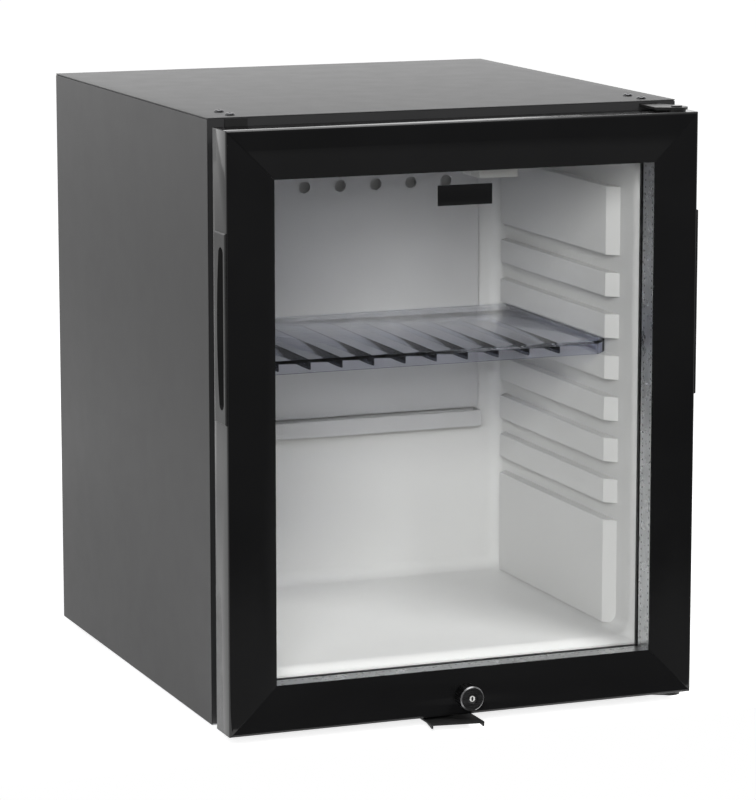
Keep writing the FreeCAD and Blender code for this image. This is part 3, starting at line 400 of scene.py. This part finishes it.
def perforated_spacer(name, colour, rough):
    """Bare aluminium strip with a row of pinholes near each edge. The holes are not cut: each one is painted
    as a dark spot, painted shade for the hollow behind it.
    """
    pitch = 0.0058
    hole_radius = 0.0008
    row_from_edge = 0.0042
    hole_shade_share = 0.25
    grain = (60, 1500, 60)
    grain_share = 0.75
    patch_scale = 90.0
    origin_far_off = 1.0
    black = (0.0, 0.0, 0.0)
    finish = Finish(name)
    low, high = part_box("spacer_bar")
    split = finish.add("ShaderNodeSeparateXYZ", Vector=finish.place).outputs
    along = finish.math("ADD", finish.math("ADD", split["X"], split["Z"]), origin_far_off)
    step = finish.math("FRACT", finish.math("DIVIDE", along, pitch), 0.0)
    across = finish.math("ABSOLUTE", finish.math("SUBTRACT", split["Y"], (low.y + high.y) / 2), 0.0)
    from_row = finish.math("SUBTRACT", across, (high.y - low.y) / 2 - row_from_edge)
    from_step = finish.math("MULTIPLY", finish.math("SUBTRACT", step, 0.5), pitch)
    row_squared = finish.math("MULTIPLY", from_row, from_row)
    step_squared = finish.math("MULTIPLY", from_step, from_step)
    # Painted shade: each pinhole is a disc of darker base colour, not an opening
    hole = finish.math("LESS_THAN", finish.math("ADD", row_squared, step_squared), hole_radius ** 2)
    lines = finish.spread(finish.noise(scale=1.0, place=finish.stretched(*grain)), grain_share, 1.0)
    pinhole_shade = finish.spread(hole, first=1.0, last=hole_shade_share, start=0.0, end=1.0)
    tone = finish.math("MULTIPLY", lines, pinhole_shade)
    shaded = finish.between(tone, black, colour, start=0.0, end=1.0)
    finish.set(Base_Color=shaded, Metallic=1.0)
    return finish.set(Roughness=finish.spread(finish.noise(patch_scale), *rough))


black_paint = coated(
    "black_paint", dark=(0.0210, 0.0210, 0.0215), light=(0.0230, 0.0230, 0.0235),
    rough=(0.385, 0.415), cells=900.0, depth=0.00012, shine=0.74)
gloss_frame = coated(
    "gloss_frame", dark=(0.0040, 0.0040, 0.0042), light=(0.0050, 0.0050, 0.0052),
    rough=(0.07, 0.11), cells=38.0, depth=0.0004)
liner_white = coated(
    "liner_white", dark=(0.695, 0.695, 0.688), light=(0.715, 0.715, 0.708),
    rough=(0.30, 0.40), cells=400.0, depth=0.00003)
grip_black = coated(
    "grip_black", dark=(0.010, 0.010, 0.010), light=(0.015, 0.015, 0.015),
    rough=(0.26, 0.36), cells=1400.0, depth=0.00006)
black_rubber = coated(
    "black_rubber", dark=(0.012, 0.012, 0.012), light=(0.020, 0.020, 0.020),
    rough=(0.55, 0.72), cells=1800.0, depth=0.00010)
bead_black = coated(
    "bead_black", dark=(0.006, 0.006, 0.006), light=(0.010, 0.010, 0.010),
    rough=(0.45, 0.55), cells=1200.0, depth=0.00005)
bracket_black = coated(
    "bracket_black", dark=(0.010, 0.010, 0.010), light=(0.016, 0.016, 0.016),
    rough=(0.30, 0.40), cells=1100.0, depth=0.00006)
unit_black = coated(
    "unit_black", dark=(0.016, 0.016, 0.017), light=(0.030, 0.030, 0.031),
    rough=(0.50, 0.65), cells=700.0, depth=0.00012)
cold_white = coated(
    "cold_white", dark=(0.56, 0.56, 0.56), light=(0.60, 0.60, 0.60),
    rough=(0.34, 0.44), cells=600.0, depth=0.00008)
grey_plastic = coated(
    "grey_plastic", dark=(0.36, 0.37, 0.38), light=(0.42, 0.43, 0.44),
    rough=(0.42, 0.52), cells=900.0, depth=0.00008)
box_black = coated(
    "box_black", dark=(0.018, 0.018, 0.018), light=(0.026, 0.026, 0.026),
    rough=(0.45, 0.56), cells=1500.0, depth=0.00008)
board_green = coated(
    "board_green", dark=(0.02, 0.12, 0.05), light=(0.03, 0.16, 0.07),
    rough=(0.35, 0.45), cells=600.0, depth=0.00005, mottle=120.0)
foam_yellow = coated(
    "foam_yellow", dark=(0.60, 0.50, 0.28), light=(0.72, 0.62, 0.38),
    rough=(0.8, 0.95), cells=450.0, depth=0.0006, mottle=60.0)
lamp_pale = coated(
    "lamp_pale", dark=(0.76, 0.76, 0.74), light=(0.80, 0.80, 0.78),
    rough=(0.22, 0.32), cells=500.0, depth=0.00004)
keyway_silver = coated(
    "keyway_silver", dark=(0.60, 0.60, 0.58), light=(0.68, 0.68, 0.66),
    rough=(0.25, 0.35), cells=900.0, depth=0.00005, metal=0.3)
lock_dark = brushed("lock_dark", colour=(0.26, 0.26, 0.265), rough=(0.20, 0.32), grain=(60, 60, 900))
bright_steel = brushed("bright_steel", colour=(0.62, 0.62, 0.63), rough=(0.22, 0.34), grain=(300, 300, 40))
screw_dark = brushed("screw_dark", colour=(0.11, 0.11, 0.115), rough=(0.20, 0.30), grain=(500, 500, 500))
nickel = brushed("nickel", colour=(0.74, 0.73, 0.70), rough=(0.34, 0.48), grain=(400, 400, 400))
zinc = zinc_sheet(
    "zinc_sheet", dark=(0.42, 0.43, 0.44), light=(0.54, 0.55, 0.56), rough=(0.38, 0.50), cells=150.0)
spacer_metal = perforated_spacer("perforated_spacer", colour=(0.74, 0.75, 0.76), rough=(0.22, 0.38))
pane_glass = see_through("pane_glass", tint=(0.998, 0.999, 0.998), mirror_share=0.014, rough=(0.0, 0.02))
lens_frosted = clear_moulding(
    "lens_frosted", dark=(0.84, 0.84, 0.82), light=(0.90, 0.90, 0.88), bend=1.35, rough=(0.35, 0.45))
shelf_clear = clear_moulding(
    "shelf_clear", dark=(0.86, 0.88, 0.97), light=(0.91, 0.92, 0.99), bend=1.12, rough=(0.04, 0.09))


def dress(finish, *nodes):
    for node in nodes:
        for slot in nodes_of[node].material_slots:
            slot.material = finish.material


dress(black_paint, "side_panel_left", "side_panel_right", "top_panel", "front_flange")
dress(zinc, "bottom_panel", "back_panel", "boiler_jacket")
dress(bracket_black, "hinge_bracket_top", "hinge_bracket_bottom", "lock_keeper")
dress(
    unit_black, "vapour_riser", "condenser_tube", "condenser_fins", "absorber_vessel", "absorber_coil",
    "evaporator_coil", "unit_clamps")
dress(bright_steel, "heater_cartridge", "lock_cam")
dress(screw_dark, "screws", "hinge_pins")
dress(foam_yellow, "insulation_foam")
dress(liner_white, "liner_left_wall", "liner_right_wall", "liner_floor", "liner_ceiling", "liner_back")
dress(cold_white, "cold_plate", "drip_gutter")
dress(lamp_pale, "lamp_housing")
dress(lens_frosted, "lamp_lens")
dress(board_green, "led_board")
dress(shelf_clear, "shelf")
dress(gloss_frame, "rail_top", "rail_bottom", "stile_left", "stile_right")
dress(
    box_black, "corner_keys", "hinge_bushes", "terminal_box", "terminal_lid", "power_inlet",
    "thermostat", "thermostat_knob")
dress(pane_glass, "outer_pane", "inner_pane")
dress(spacer_metal, "spacer_bar")
dress(black_rubber, "pane_sealant", "door_gasket", "feet")
dress(bead_black, "glazing_bead")
dress(grip_black, "grip_left", "grip_right", "hinge_slot_plug")
dress(lock_dark, "lock_barrel")
dress(nickel, "lock_nut", "lock_plug")
dress(grey_plastic, "drain_tube", "drip_pan")


def fit(piece, finish, body, slot, *nodes):
    piece.data.materials.clear()
    piece.data.materials.append(finish.material)
    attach(piece, body)
    if nodes:
        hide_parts(*nodes)


# Shell panels: folded sheet with soft edges
SHEET = 0.001
FOLD = 0.012
SHEET_SOFT = 0.00045


def sheet_with_fold(name, low, high, cuts, fold, push):
    """A flat sheet, scored at the cuts, with the chosen strip drawn out into a fold."""
    piece = block(name, low, high)
    for place, across in cuts:
        score(piece, place, across)
    pick(piece, "FACE", fold)
    draw_out(*push)
    shaped()
    soften(piece, SHEET_SOFT, segments=3)
    return piece


def shell_panels():
    low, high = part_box("side_panel_left")
    rear = high.y - SHEET
    rear_cut = ((0, rear, 0), (0, 1, 0))

    def behind(mesh, face):
        return face.center.y > rear

    left = sheet_with_fold(
        "side_panel_skin_left", low, (low.x + SHEET, high.y, high.z), [rear_cut],
        both(face_towards(1, 0, 0), behind), (FOLD - SHEET, 0, 0))
    right = mirror_x(left, "side_panel_skin_right")
    fit(left, black_paint, "cabinet", "shell_paint", "side_panel_left")
    fit(right, black_paint, "cabinet", "shell_paint", "side_panel_right")
    low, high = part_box("top_panel")
    reach = high.x - FOLD
    cuts = [rear_cut, ((reach, 0, 0), (1, 0, 0)), ((-reach, 0, 0), (1, 0, 0))]

    def under_rear(mesh, face):
        return behind(mesh, face) and abs(face.center.x) < reach

    top = sheet_with_fold(
        "top_panel_skin", (low.x, low.y, high.z - SHEET), high, cuts,
        both(face_towards(0, 0, -1), under_rear), (0, 0, SHEET - FOLD))
    fit(top, black_paint, "cabinet", "shell_paint", "top_panel")


# Sealing tape behind the seams between the top and the sides
def seam_tapes():
    proud = 0.0002
    width = 0.003
    gap = 0.00005
    soft = 0.0001
    low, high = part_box("insulation_foam")
    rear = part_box("top_panel")[1].y - SHEET
    left = block(
        "seam_tape", (low.x - proud, low.y, high.z - width), (low.x + width, rear, high.z - gap))
    soften(left, soft)
    tapes = joined([left, mirror_x(left)], "seam_tapes")
    fit(tapes, black_rubber, "cabinet", "gasket_rubber")


# Screws: one domed head with a cross recess, copied to every place
def screw_master():
    """One screw whose head stands on Z = 0."""
    radius = 0.0040
    height = 0.0018
    dome = 0.0015
    cross_reach = 0.0021
    cross_half = 0.00045
    cross_floor = 0.0007
    cutter_top = 0.0030
    shank_radius = 0.0020
    shank_length = 0.009
    shank_overlap = 0.0002
    head = drum("screw_head", radius, (0, 0, 0), (0, 0, height), sides=40)
    pick(head, "EDGE", edge_at(Z, height))
    cut_edges(dome, segments=5)
    shaped()
    for half_x, half_y in ((cross_reach, cross_half), (cross_half, cross_reach)):
        cut_away(head, block("cross", (-half_x, -half_y, cross_floor), (half_x, half_y, cutter_top)))
    shank = drum("screw_shank", shank_radius, (0, 0, -shank_length), (0, 0, shank_overlap), sides=24)
    master = joined([head, shank], "screw")
    smooth(master, angle=30)
    return master


def screws():
    bracket_x = 0.179
    bracket_rows = (-0.158, -0.132)
    top = 0.500
    bracket_under = 0.008
    keeper_columns = (-0.024125, -0.002375)
    keeper_y = -0.146
    keeper_under = 0.0085
    foot_columns = (-0.150, 0.150)
    foot_rows = (-0.112, 0.118)
    foot_under = 0.005
    upright = (0, 0, 0)
    upside_down = (180, 0, 0)
    places = [((x, y, top), upright) for x in (-bracket_x, bracket_x) for y in bracket_rows]
    places += [((bracket_x, y, bracket_under), upside_down) for y in bracket_rows]
    places += [((x, keeper_y, keeper_under), upside_down) for x in keeper_columns]
    places += [((x, y, foot_under), upside_down) for x in foot_columns for y in foot_rows]
    master = screw_master()
    copies = [copied(master, place, turn) for place, turn in places]
    discard(master)
    fit(joined(copies, "screws_domed"), screw_dark, "cabinet", "screw_steel", "screws")


# Inner liner: one moulding with rounded corners, a flared mouth and shelf runners
RUNNER_RIBS = 6
RUNNER_PITCH_SHARE = 0.0882
RUNNER_RIB_SHARE = 0.578
RUNNER_FOOT_SHARE = 0.2307
RUNNER_HEAD_SHARE = 0.1445
RUNNER_FLOOR_GAP = 0.003
RUNNER_START = 0.037
RUNNER_END = 0.015
RUNNER_DEPTH = 0.009
RUNNER_ROOT = 0.001
RUNNER_SOFT = 0.003


def runner(start, end, face, wall, low, high):
    """One runner on the right wall, with the corner at its front end cut off."""
    piece = block("runner", (face, start, low), (wall + RUNNER_ROOT, end, high))
    pick(piece, "EDGE", edge_at(X, face, Z))
    cut_edges(RUNNER_DEPTH)
    shaped()
    soften(piece, RUNNER_SOFT, segments=4)
    return piece


def wall_runners(mouth, back, wall):
    """The runners of both walls: a deep one at the foot, equal ribs and a deep one at the head."""
    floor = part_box("liner_floor")[1].z
    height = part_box("liner_ceiling")[0].z - floor
    pitch = height * RUNNER_PITCH_SHARE
    rib = pitch * RUNNER_RIB_SHARE
    first = floor + height * RUNNER_FOOT_SHARE
    low = first + pitch - rib
    head_low = low + RUNNER_RIBS * pitch
    sizes = (mouth + RUNNER_START, back - RUNNER_END, wall - RUNNER_DEPTH, wall)
    foot = runner(*sizes, floor + RUNNER_FLOOR_GAP, first)
    master = runner(*sizes, low, low + rib)
    head = runner(*sizes, head_low, head_low + height * RUNNER_HEAD_SHARE)
    copies = [copied(master, (0, 0, index * pitch)) for index in range(1, RUNNER_RIBS)]
    right = joined([foot, master, *copies, head], "runners")
    return [right, mirror_x(right)]


def liner():
    flare_depth = 0.010
    flare_out = 0.005
    rim_out = 0.007
    corner = 0.012
    corner_reach = 0.0135
    merge = 0.0001
    throat_soft = 0.004
    thick = 0.002
    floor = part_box("liner_floor")[1].z
    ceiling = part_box("liner_ceiling")[0].z
    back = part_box("liner_back")[0].y
    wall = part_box("liner_back")[1].x
    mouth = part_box("liner_right_wall")[0].y
    throat = mouth + flare_depth
    height = ceiling - floor
    middle = (0, mouth, (floor + ceiling) / 2)
    shell = block("liner", (-wall, throat, floor), (wall, back, ceiling))
    pick(shell, "FACE", face_towards(0, -1, 0))
    bpy.ops.mesh.delete(type="FACE")
    shaped()
    pick(shell, "EDGE", lambda mesh, edge: not edge_at(Y, throat)(mesh, edge))
    cut_edges(corner, segments=5)
    shaped()
    pick(shell, "EDGE", edge_at(Y, throat))
    draw_edges(0, -flare_depth, 0)
    wide = (wall + flare_out) / wall
    tall = (height + 2 * flare_out) / height
    bpy.ops.transform.resize(value=(wide, 1, tall), center_override=middle)
    shaped()
    for x in (-wall - flare_out, wall + flare_out):
        for z in (floor - flare_out, ceiling + flare_out):
            tip = Vector((x, mouth, z))
            pick(shell, "VERT", lambda mesh, vert: (vert.co - tip).length < corner_reach)
            bpy.ops.transform.resize(value=(0, 1, 0), center_override=tip)
            bpy.ops.mesh.remove_doubles(threshold=merge)
            shaped()
    face_outwards(shell)
    pick(shell, "EDGE", edge_at(Y, mouth))
    draw_edges(0, 0, 0)
    wide = (wall + rim_out) / (wall + flare_out)
    tall = (height + 2 * rim_out) / (height + 2 * flare_out)
    bpy.ops.transform.resize(value=(wide, 1, tall), center_override=middle)
    shaped()
    pick(shell, "EDGE", edge_at(Y, throat))
    cut_edges(throat_soft, segments=4)
    shaped()
    apply_modifier(shell, "SOLIDIFY", thickness=thick, offset=1.0)
    smooth(shell, angle=50)
    piece = joined([shell, *wall_runners(mouth, back, wall)], "liner")
    fit(
        piece, liner_white, "cabinet", "liner_plastic",
        "liner_left_wall", "liner_right_wall", "liner_floor", "liner_ceiling", "liner_back")


# Shelf: a clear tray turned upside down, with a lip and ribs under it
def shelf():
    corner = 0.010
    lip = 0.0025
    plate = 0.003
    tray_soft = 0.0009
    rib_count = 10
    rib_pitch = 0.0278
    rib_half = 0.0008
    rib_inside = 0.0022
    rib_low = 0.009
    rib_high = 0.0028
    rib_soft = 0.0004
    low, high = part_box("shelf")
    tray = block("shelf_tray", low, high)
    pick(tray, "EDGE", edge_at(Y, low.y, Z))
    cut_edges(corner)
    shaped()
    pick(tray, "FACE", face_towards(0, 0, -1))
    bpy.ops.mesh.inset(thickness=lip)
    draw_out(0, 0, high.z - low.z - plate)
    shaped()
    soften(tray, tray_soft, segments=3)
    rib = block(
        "shelf_rib", (-rib_half, low.y + rib_inside, high.z - rib_low),
        (rib_half, high.y - rib_inside, high.z - rib_high))
    soften(rib, rib_soft)
    middle = (rib_count - 1) / 2
    ribs = [copied(rib, ((index - middle) * rib_pitch, 0, 0)) for index in range(rib_count)]
    discard(rib)
    fit(joined([tray, *ribs], "shelf_moulding"), shelf_clear, "shelf", "clear_plastic", "shelf")


# Lock plug: dark face with a bright keyway
def lock_plug():
    boss_radius = 0.003
    boss_from_end = 0.004
    rivet_radius = 0.004
    rivet_length = 0.0015
    soft = 0.0003
    key_radius = 0.0024
    key_proud = 0.0003
    key_root = 0.002
    key_rim = 0.0011
    key_shares = (0.7, 1, 1.5)
    key_depth = 0.0016
    key_soft = 0.0002
    low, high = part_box("lock_plug")
    x = (low.x + high.x) / 2
    z = (low.z + high.z) / 2
    radius = (high.x - low.x) / 2
    boss_y = high.y - boss_from_end
    rivet_y = high.y - rivet_length
    core = drum("plug_core", radius, (x, low.y, z), (x, boss_y, z))
    boss = drum("plug_boss", boss_radius, (x, boss_y, z), (x, rivet_y, z), sides=32)
    rivet = drum("plug_rivet", rivet_radius, (x, rivet_y, z), (x, high.y, z), sides=32)
    for part in (core, boss, rivet):
        soften(part, soft)
        part.data.materials.append(lock_dark.material)
    ring = drum(
        "plug_keyway", key_radius, (x, low.y - key_proud, z), (x, low.y + key_root, z), sides=32)
    pick(ring, "FACE", face_towards(0, -1, 0))
    bpy.ops.mesh.inset(thickness=key_rim)
    bpy.ops.transform.resize(value=key_shares, center_override=(x, low.y, z))
    draw_out(0, key_depth, 0)
    shaped()
    soften(ring, key_soft)
    ring.data.materials.append(keyway_silver.material)
    piece = joined([core, boss, rivet, ring], "lock_plug_turned")
    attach(piece, "lock_core")
    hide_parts("lock_plug")


# Door frame: hollow bars with a bevelled, rounded front and mitred ends
FACE = 0.0395
REBATE = 0.028
WALL = 0.003
LIP = 0.0015
BEVEL = 0.016
BEVEL_DROP = 0.0012
SHOULDER_ROUND = 0.0025
MITRE_SOFT = 0.0003
MITRE_GAP = 0.0002


def frame_bar(name, length, front, back):
    """A bar along X whose outer edge lies at Z = 0, with its ends mitred."""
    half = length / 2
    over = half + OVERRUN
    shoulder = front + BEVEL_DROP
    bar = block(name, (-half, front, 0), (half, back, FACE))
    pick(bar, "EDGE", both(edge_at(Z, 0), edge_at(Y, front)))
    cut_edges(BEVEL)
    shaped()
    pick(bar, "VERT", vert_at(Y, front + BEVEL))
    shift(0, BEVEL_DROP - BEVEL, 0)
    shaped()
    pick(bar, "EDGE", both(edge_at(Z, 0), edge_at(Y, shoulder)))
    cut_edges(SHOULDER_ROUND, segments=5)
    shaped()
    cut_away(bar, block("rebate", (-over, front + LIP, REBATE), (over, back + OVERRUN, FACE + OVERRUN)))
    cut_away(bar, block("chamber", (-over, shoulder + WALL, WALL), (over, back - WALL, REBATE - WALL)))
    levels = levels_along(bar, Z)
    for way in (-1, 1):
        for level in levels:
            at_end = both(vert_at(Z, level, SAME_LEVEL), lambda mesh, vert: vert.co.x * way > half - SAME)
            pick(bar, "VERT", at_end)
            shift(-way * level, 0, 0)
            shaped()

    def on_mitre(mesh, edge):
        ends = [mesh.vertices[index].co for index in edge.vertices]
        return all(abs(abs(end.x) + end.z - half) < SAME for end in ends)

    pick(bar, "EDGE", on_mitre)
    cut_edges(MITRE_SOFT, segments=2)
    shaped()
    return bar


def lock_and_hinge_holes(rail_bottom, rail_top, front, back, bottom, top):
    bore_radius = 0.0067
    bore_short_of_back = 0.018
    cam_room = 0.001
    slot_below = 0.002
    slot_above = 0.005
    bush_radius = 0.0051
    bush_depth = 0.016
    hinge_x = 0.190
    hinge_y = -0.202
    barrel_low, barrel_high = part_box("lock_barrel")
    lock_z = (barrel_low.z + barrel_high.z) / 2
    cam_low, cam_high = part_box("lock_cam")
    cut_away(rail_bottom, drum(
        "lock_bore", bore_radius, (0, front - OVERRUN, lock_z), (0, back - bore_short_of_back, lock_z)))
    cut_away(rail_bottom, block(
        "cam_slot", (cam_low.x - cam_room, cam_low.y - cam_room, bottom - slot_below),
        (cam_high.x + cam_room, cam_high.y + cam_room, bottom + slot_above)))
    cut_away(rail_bottom, drum(
        "bush_low", bush_radius, (hinge_x, hinge_y, bottom - OVERRUN),
        (hinge_x, hinge_y, bottom + bush_depth)))
    cut_away(rail_top, drum(
        "bush_high", bush_radius, (hinge_x, hinge_y, top - bush_depth),
        (hinge_x, hinge_y, top + OVERRUN)))


def grip_pocket(stile, grip, room_left, room_right):
    """A pocket for a grip, with a little room beside it."""
    front_edge = 0.0017
    back_edge = 0.0007
    margin = 0.0057
    low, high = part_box(grip)
    cut_away(stile, block(
        "grip_pocket", (low.x - room_left, low.y + front_edge, low.z + margin),
        (high.x + room_right, high.y - back_edge, high.z - margin)))


def door_frame():
    grip_room = 0.0003
    low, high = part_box("rail_bottom")
    front, back, bottom = low.y, high.y, low.z
    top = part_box("rail_top")[1].z
    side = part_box("stile_right")[1].x
    middle = (top + bottom) / 2
    rail = frame_bar("rail", side * 2 - MITRE_GAP, front, back)
    stile = frame_bar("stile", top - bottom - MITRE_GAP, front, back)
    bars = {
        "rail_bottom": copied(rail, (0, 0, bottom), name="rail_bottom_bar"),
        "rail_top": copied(rail, (0, 0, top), turn=(0, 180, 0), name="rail_top_bar"),
        "stile_left": copied(stile, (-side, 0, middle), turn=(0, 90, 0), name="stile_left_bar"),
        "stile_right": copied(stile, (side, 0, middle), turn=(0, -90, 0), name="stile_right_bar"),
    }
    discard(rail)
    discard(stile)
    lock_and_hinge_holes(bars["rail_bottom"], bars["rail_top"], front, back, bottom, top)
    grip_pocket(bars["stile_left"], "grip_left", room_left=0, room_right=grip_room)
    grip_pocket(bars["stile_right"], "grip_right", room_left=grip_room, room_right=0)
    for node, bar in bars.items():
        smooth(bar, angle=30)
        fit(bar, gloss_frame, "door", "frame_plastic", node)


# Lock keeper: one folded sheet, with its free edges turned down
def keeper():
    sheet = 0.0015
    plate_drop = 0.0017
    flange = 0.040
    tongue = 0.017
    skew = 0.007
    taper_share = 0.9
    cam_inset = 0.005
    room = 0.001
    soft = 0.0003
    low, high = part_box("lock_keeper")
    cam_low, cam_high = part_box("lock_cam")
    top = high.z - plate_drop
    bottom = top - sheet
    fold = high.y - flange
    tip = low.y + tongue
    plate = block("lock_keeper_sheet", (low.x, low.y, bottom), (high.x, fold + sheet, top))
    for x in (low.x + sheet, high.x - sheet):
        score(plate, (x, 0, 0), (1, 0, 0))
    for y in (tip, fold):
        score(plate, (0, y, 0), (0, 1, 0))
    levels = levels_along(plate, X)

    def beside_tongue(mesh, face):
        outside = face.center.x < low.x + sheet or face.center.x > high.x - sheet
        return face.center.y < tip and outside

    pick(plate, "FACE", both(face_towards(0, 0, -1), beside_tongue))
    draw_out(0, 0, low.z - bottom)
    shaped()
    pick(plate, "VERT", both(vert_at(Z, low.z), vert_at(Y, tip)))
    shift(0, 0, (bottom - low.z) * taper_share)
    shaped()
    for level in levels:
        pick(plate, "VERT", both(vert_at(X, level, SAME_LEVEL), vert_at(Y, low.y)))
        shift(0, skew * (high.x - level) / (high.x - low.x), 0)
        shaped()
    pick(plate, "FACE", both(face_towards(0, 0, 1), lambda mesh, face: face.center.y > fold))
    draw_out(0, 0, high.z - sheet - top)
    draw_out(0, 0, sheet)
    shaped()
    pick(plate, "FACE", both(face_towards(0, 1, 0), lambda mesh, face: face.center.z > high.z - sheet))
    draw_out(0, high.y - fold - sheet, 0)
    shaped()
    cut_away(plate, block(
        "cam_opening", (cam_low.x + cam_inset, cam_low.y - room, bottom - room),
        (cam_high.x + room, cam_high.y + room, top + room)))
    soften(plate, soft)
    fit(plate, bracket_black, "cabinet", "black_steel", "lock_keeper")


# Seal in the slot that the upper hinge comes out of
def hinge_slot_seal():
    arm_middle = 0.008
    half = 0.0085
    arm_over_bush = 0.0023
    below = 0.0025
    above = 0.0005
    sunk = 0.0004
    rim = 0.0006
    dish = 0.0003
    soft = 0.0001
    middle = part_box("hinge_bracket_top")[0].x + arm_middle
    flange_low, flange_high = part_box("front_flange")
    arm_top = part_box("hinge_bushes")[1].z + arm_over_bush
    seal = block(
        "hinge_slot_seal", (middle - half, flange_low.y + sunk, arm_top - below),
        (middle + half, flange_high.y, arm_top + above))
    pick(seal, "FACE", face_towards(0, -1, 0))
    bpy.ops.mesh.inset(thickness=rim)
    draw_out(0, dish, 0)
    shaped()
    soften(seal, soft)
    fit(seal, black_rubber, "cabinet", "gasket_rubber")


# Plain badge on the glass
def badge():
    left = -0.026
    right = 0.021
    bottom = 0.4275
    top = 0.4440
    proud = 0.0007
    gap = 0.00005
    soft = 0.0003
    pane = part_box("outer_pane")[0].y
    plate = block("badge", (left, pane - proud, bottom), (right, pane - gap, top))
    soften(plate, soft)
    fit(plate, gloss_frame, "door", "frame_plastic")


shell_panels()
seam_tapes()
screws()
liner()
shelf()
door_frame()
lock_plug()
keeper()
hinge_slot_seal()
badge()


# Floor, lamps, surroundings and camera
def stage_floor():
    """Pale floor under and behind the cabinet, which ends close in front of the door as a table top does."""
    size = 14
    front = -0.245
    below = 0.0005
    mottle = 3.0
    dark = (0.80, 0.80, 0.80)
    light = (0.82, 0.82, 0.82)
    glow = 0.25
    seen_glow = 0.8
    deselect()
    bpy.ops.mesh.primitive_plane_add(size=size, location=(0, front + size / 2, -below))
    plane = settle(bpy.context.object, "floor")
    finish = Finish("pale_floor")
    pale = finish.between(finish.noise(mottle), dark, light)
    seen = finish.add("ShaderNodeLightPath").outputs["Is Camera Ray"]
    finish.set(Base_Color=pale, Roughness=0.9, Specular_IOR_Level=0.0)
    shine = finish.spread(seen, first=glow, last=seen_glow, start=0.0, end=1.0)
    finish.set(Emission_Color=WHITE, Emission_Strength=shine)
    plane.data.materials.append(finish.material)


def lamp(name, place, aim, width, height, watts):
    """A soft lamp that glares in no surface; the room gives the reflections."""
    data = bpy.data.lights.new(name, "AREA")
    data.shape = "RECTANGLE"
    data.size = width
    data.size_y = height
    data.energy = watts
    lamp_object = bpy.data.objects.new(name, data)
    bpy.context.scene.collection.objects.link(lamp_object)
    lamp_object.location = place
    lamp_object.visible_glossy = False
    lamp_object.rotation_euler = (Vector(aim) - Vector(place)).to_track_quat("-Z", "Y").to_euler()


def surroundings():
    """White room, dark at the front because the door mirrors it, with a soft light overhead."""
    room_light = 0.25
    world = bpy.data.worlds.new("studio")
    bpy.context.scene.world = world
    world.use_nodes = True
    nodes = Nodes(world.node_tree)
    light = world.node_tree.nodes["Background"]
    nodes.feed(light.inputs["Color"], WHITE)
    nodes.feed(light.inputs["Strength"], room_light)
    white = nodes.add("ShaderNodeBackground", Color=WHITE).outputs["Background"]
    direction = nodes.add("ShaderNodeTexCoord").outputs["Generated"]
    way = nodes.add("ShaderNodeSeparateXYZ", Vector=direction).outputs
    front = nodes.spread(way["Y"], first=0.04, last=1.0, start=-0.7, end=0.1)
    low_front = nodes.spread(way["Z"], first=0.16, last=0.0, start=-0.40, end=-0.30)
    above = nodes.spread(way["Z"], first=1.0, last=0.40, start=0.40, end=0.75)
    overhead = nodes.spread(way["Z"], first=0.0, last=3.0, start=0.82, end=0.92)
    over_floor = nodes.spread(way["Z"], first=1.0, last=1.3, start=-0.05, end=0.15)
    walls = nodes.math("MINIMUM", front, above)
    level = nodes.math("MAXIMUM", walls, nodes.math("MAXIMUM", low_front, overhead))
    level = nodes.math("MULTIPLY", level, over_floor)
    room = nodes.add("ShaderNodeBackground", Color=WHITE, Strength=level).outputs["Background"]
    path = nodes.add("ShaderNodeLightPath").outputs
    surface = nodes.mixed(path["Is Glossy Ray"], light.outputs["Background"], room)
    surface = nodes.mixed(path["Is Transmission Ray"], surface, white)
    surface = nodes.mixed(path["Is Camera Ray"], surface, white)
    nodes.surface("World Output", surface)


def camera(place, pitch, yaw, lens):
    data = bpy.data.cameras.new("camera")
    data.sensor_width = 36.0
    data.lens = lens
    data.clip_end = 50.0
    camera_object = bpy.data.objects.new("camera", data)
    bpy.context.scene.collection.objects.link(camera_object)
    camera_object.location = place
    camera_object.rotation_euler = (math.radians(pitch), 0.0, math.radians(yaw))
    bpy.context.scene.camera = camera_object


stage_floor()
lamp("key", place=(1.0, -2.1, 2.4), aim=(0.0, 0.0, 0.2), width=1.2, height=1.0, watts=88.0)
lamp("fill", place=(-1.3, -2.7, 1.3), aim=(0.0, 0.0, 0.25), width=1.0, height=1.0, watts=73.0)
surroundings()
camera(place=(-1.1712, -2.9934, 0.8089), pitch=79.858, yaw=-21.514, lens=171.86)
bpy.context.scene.view_settings.view_transform = "Standard"
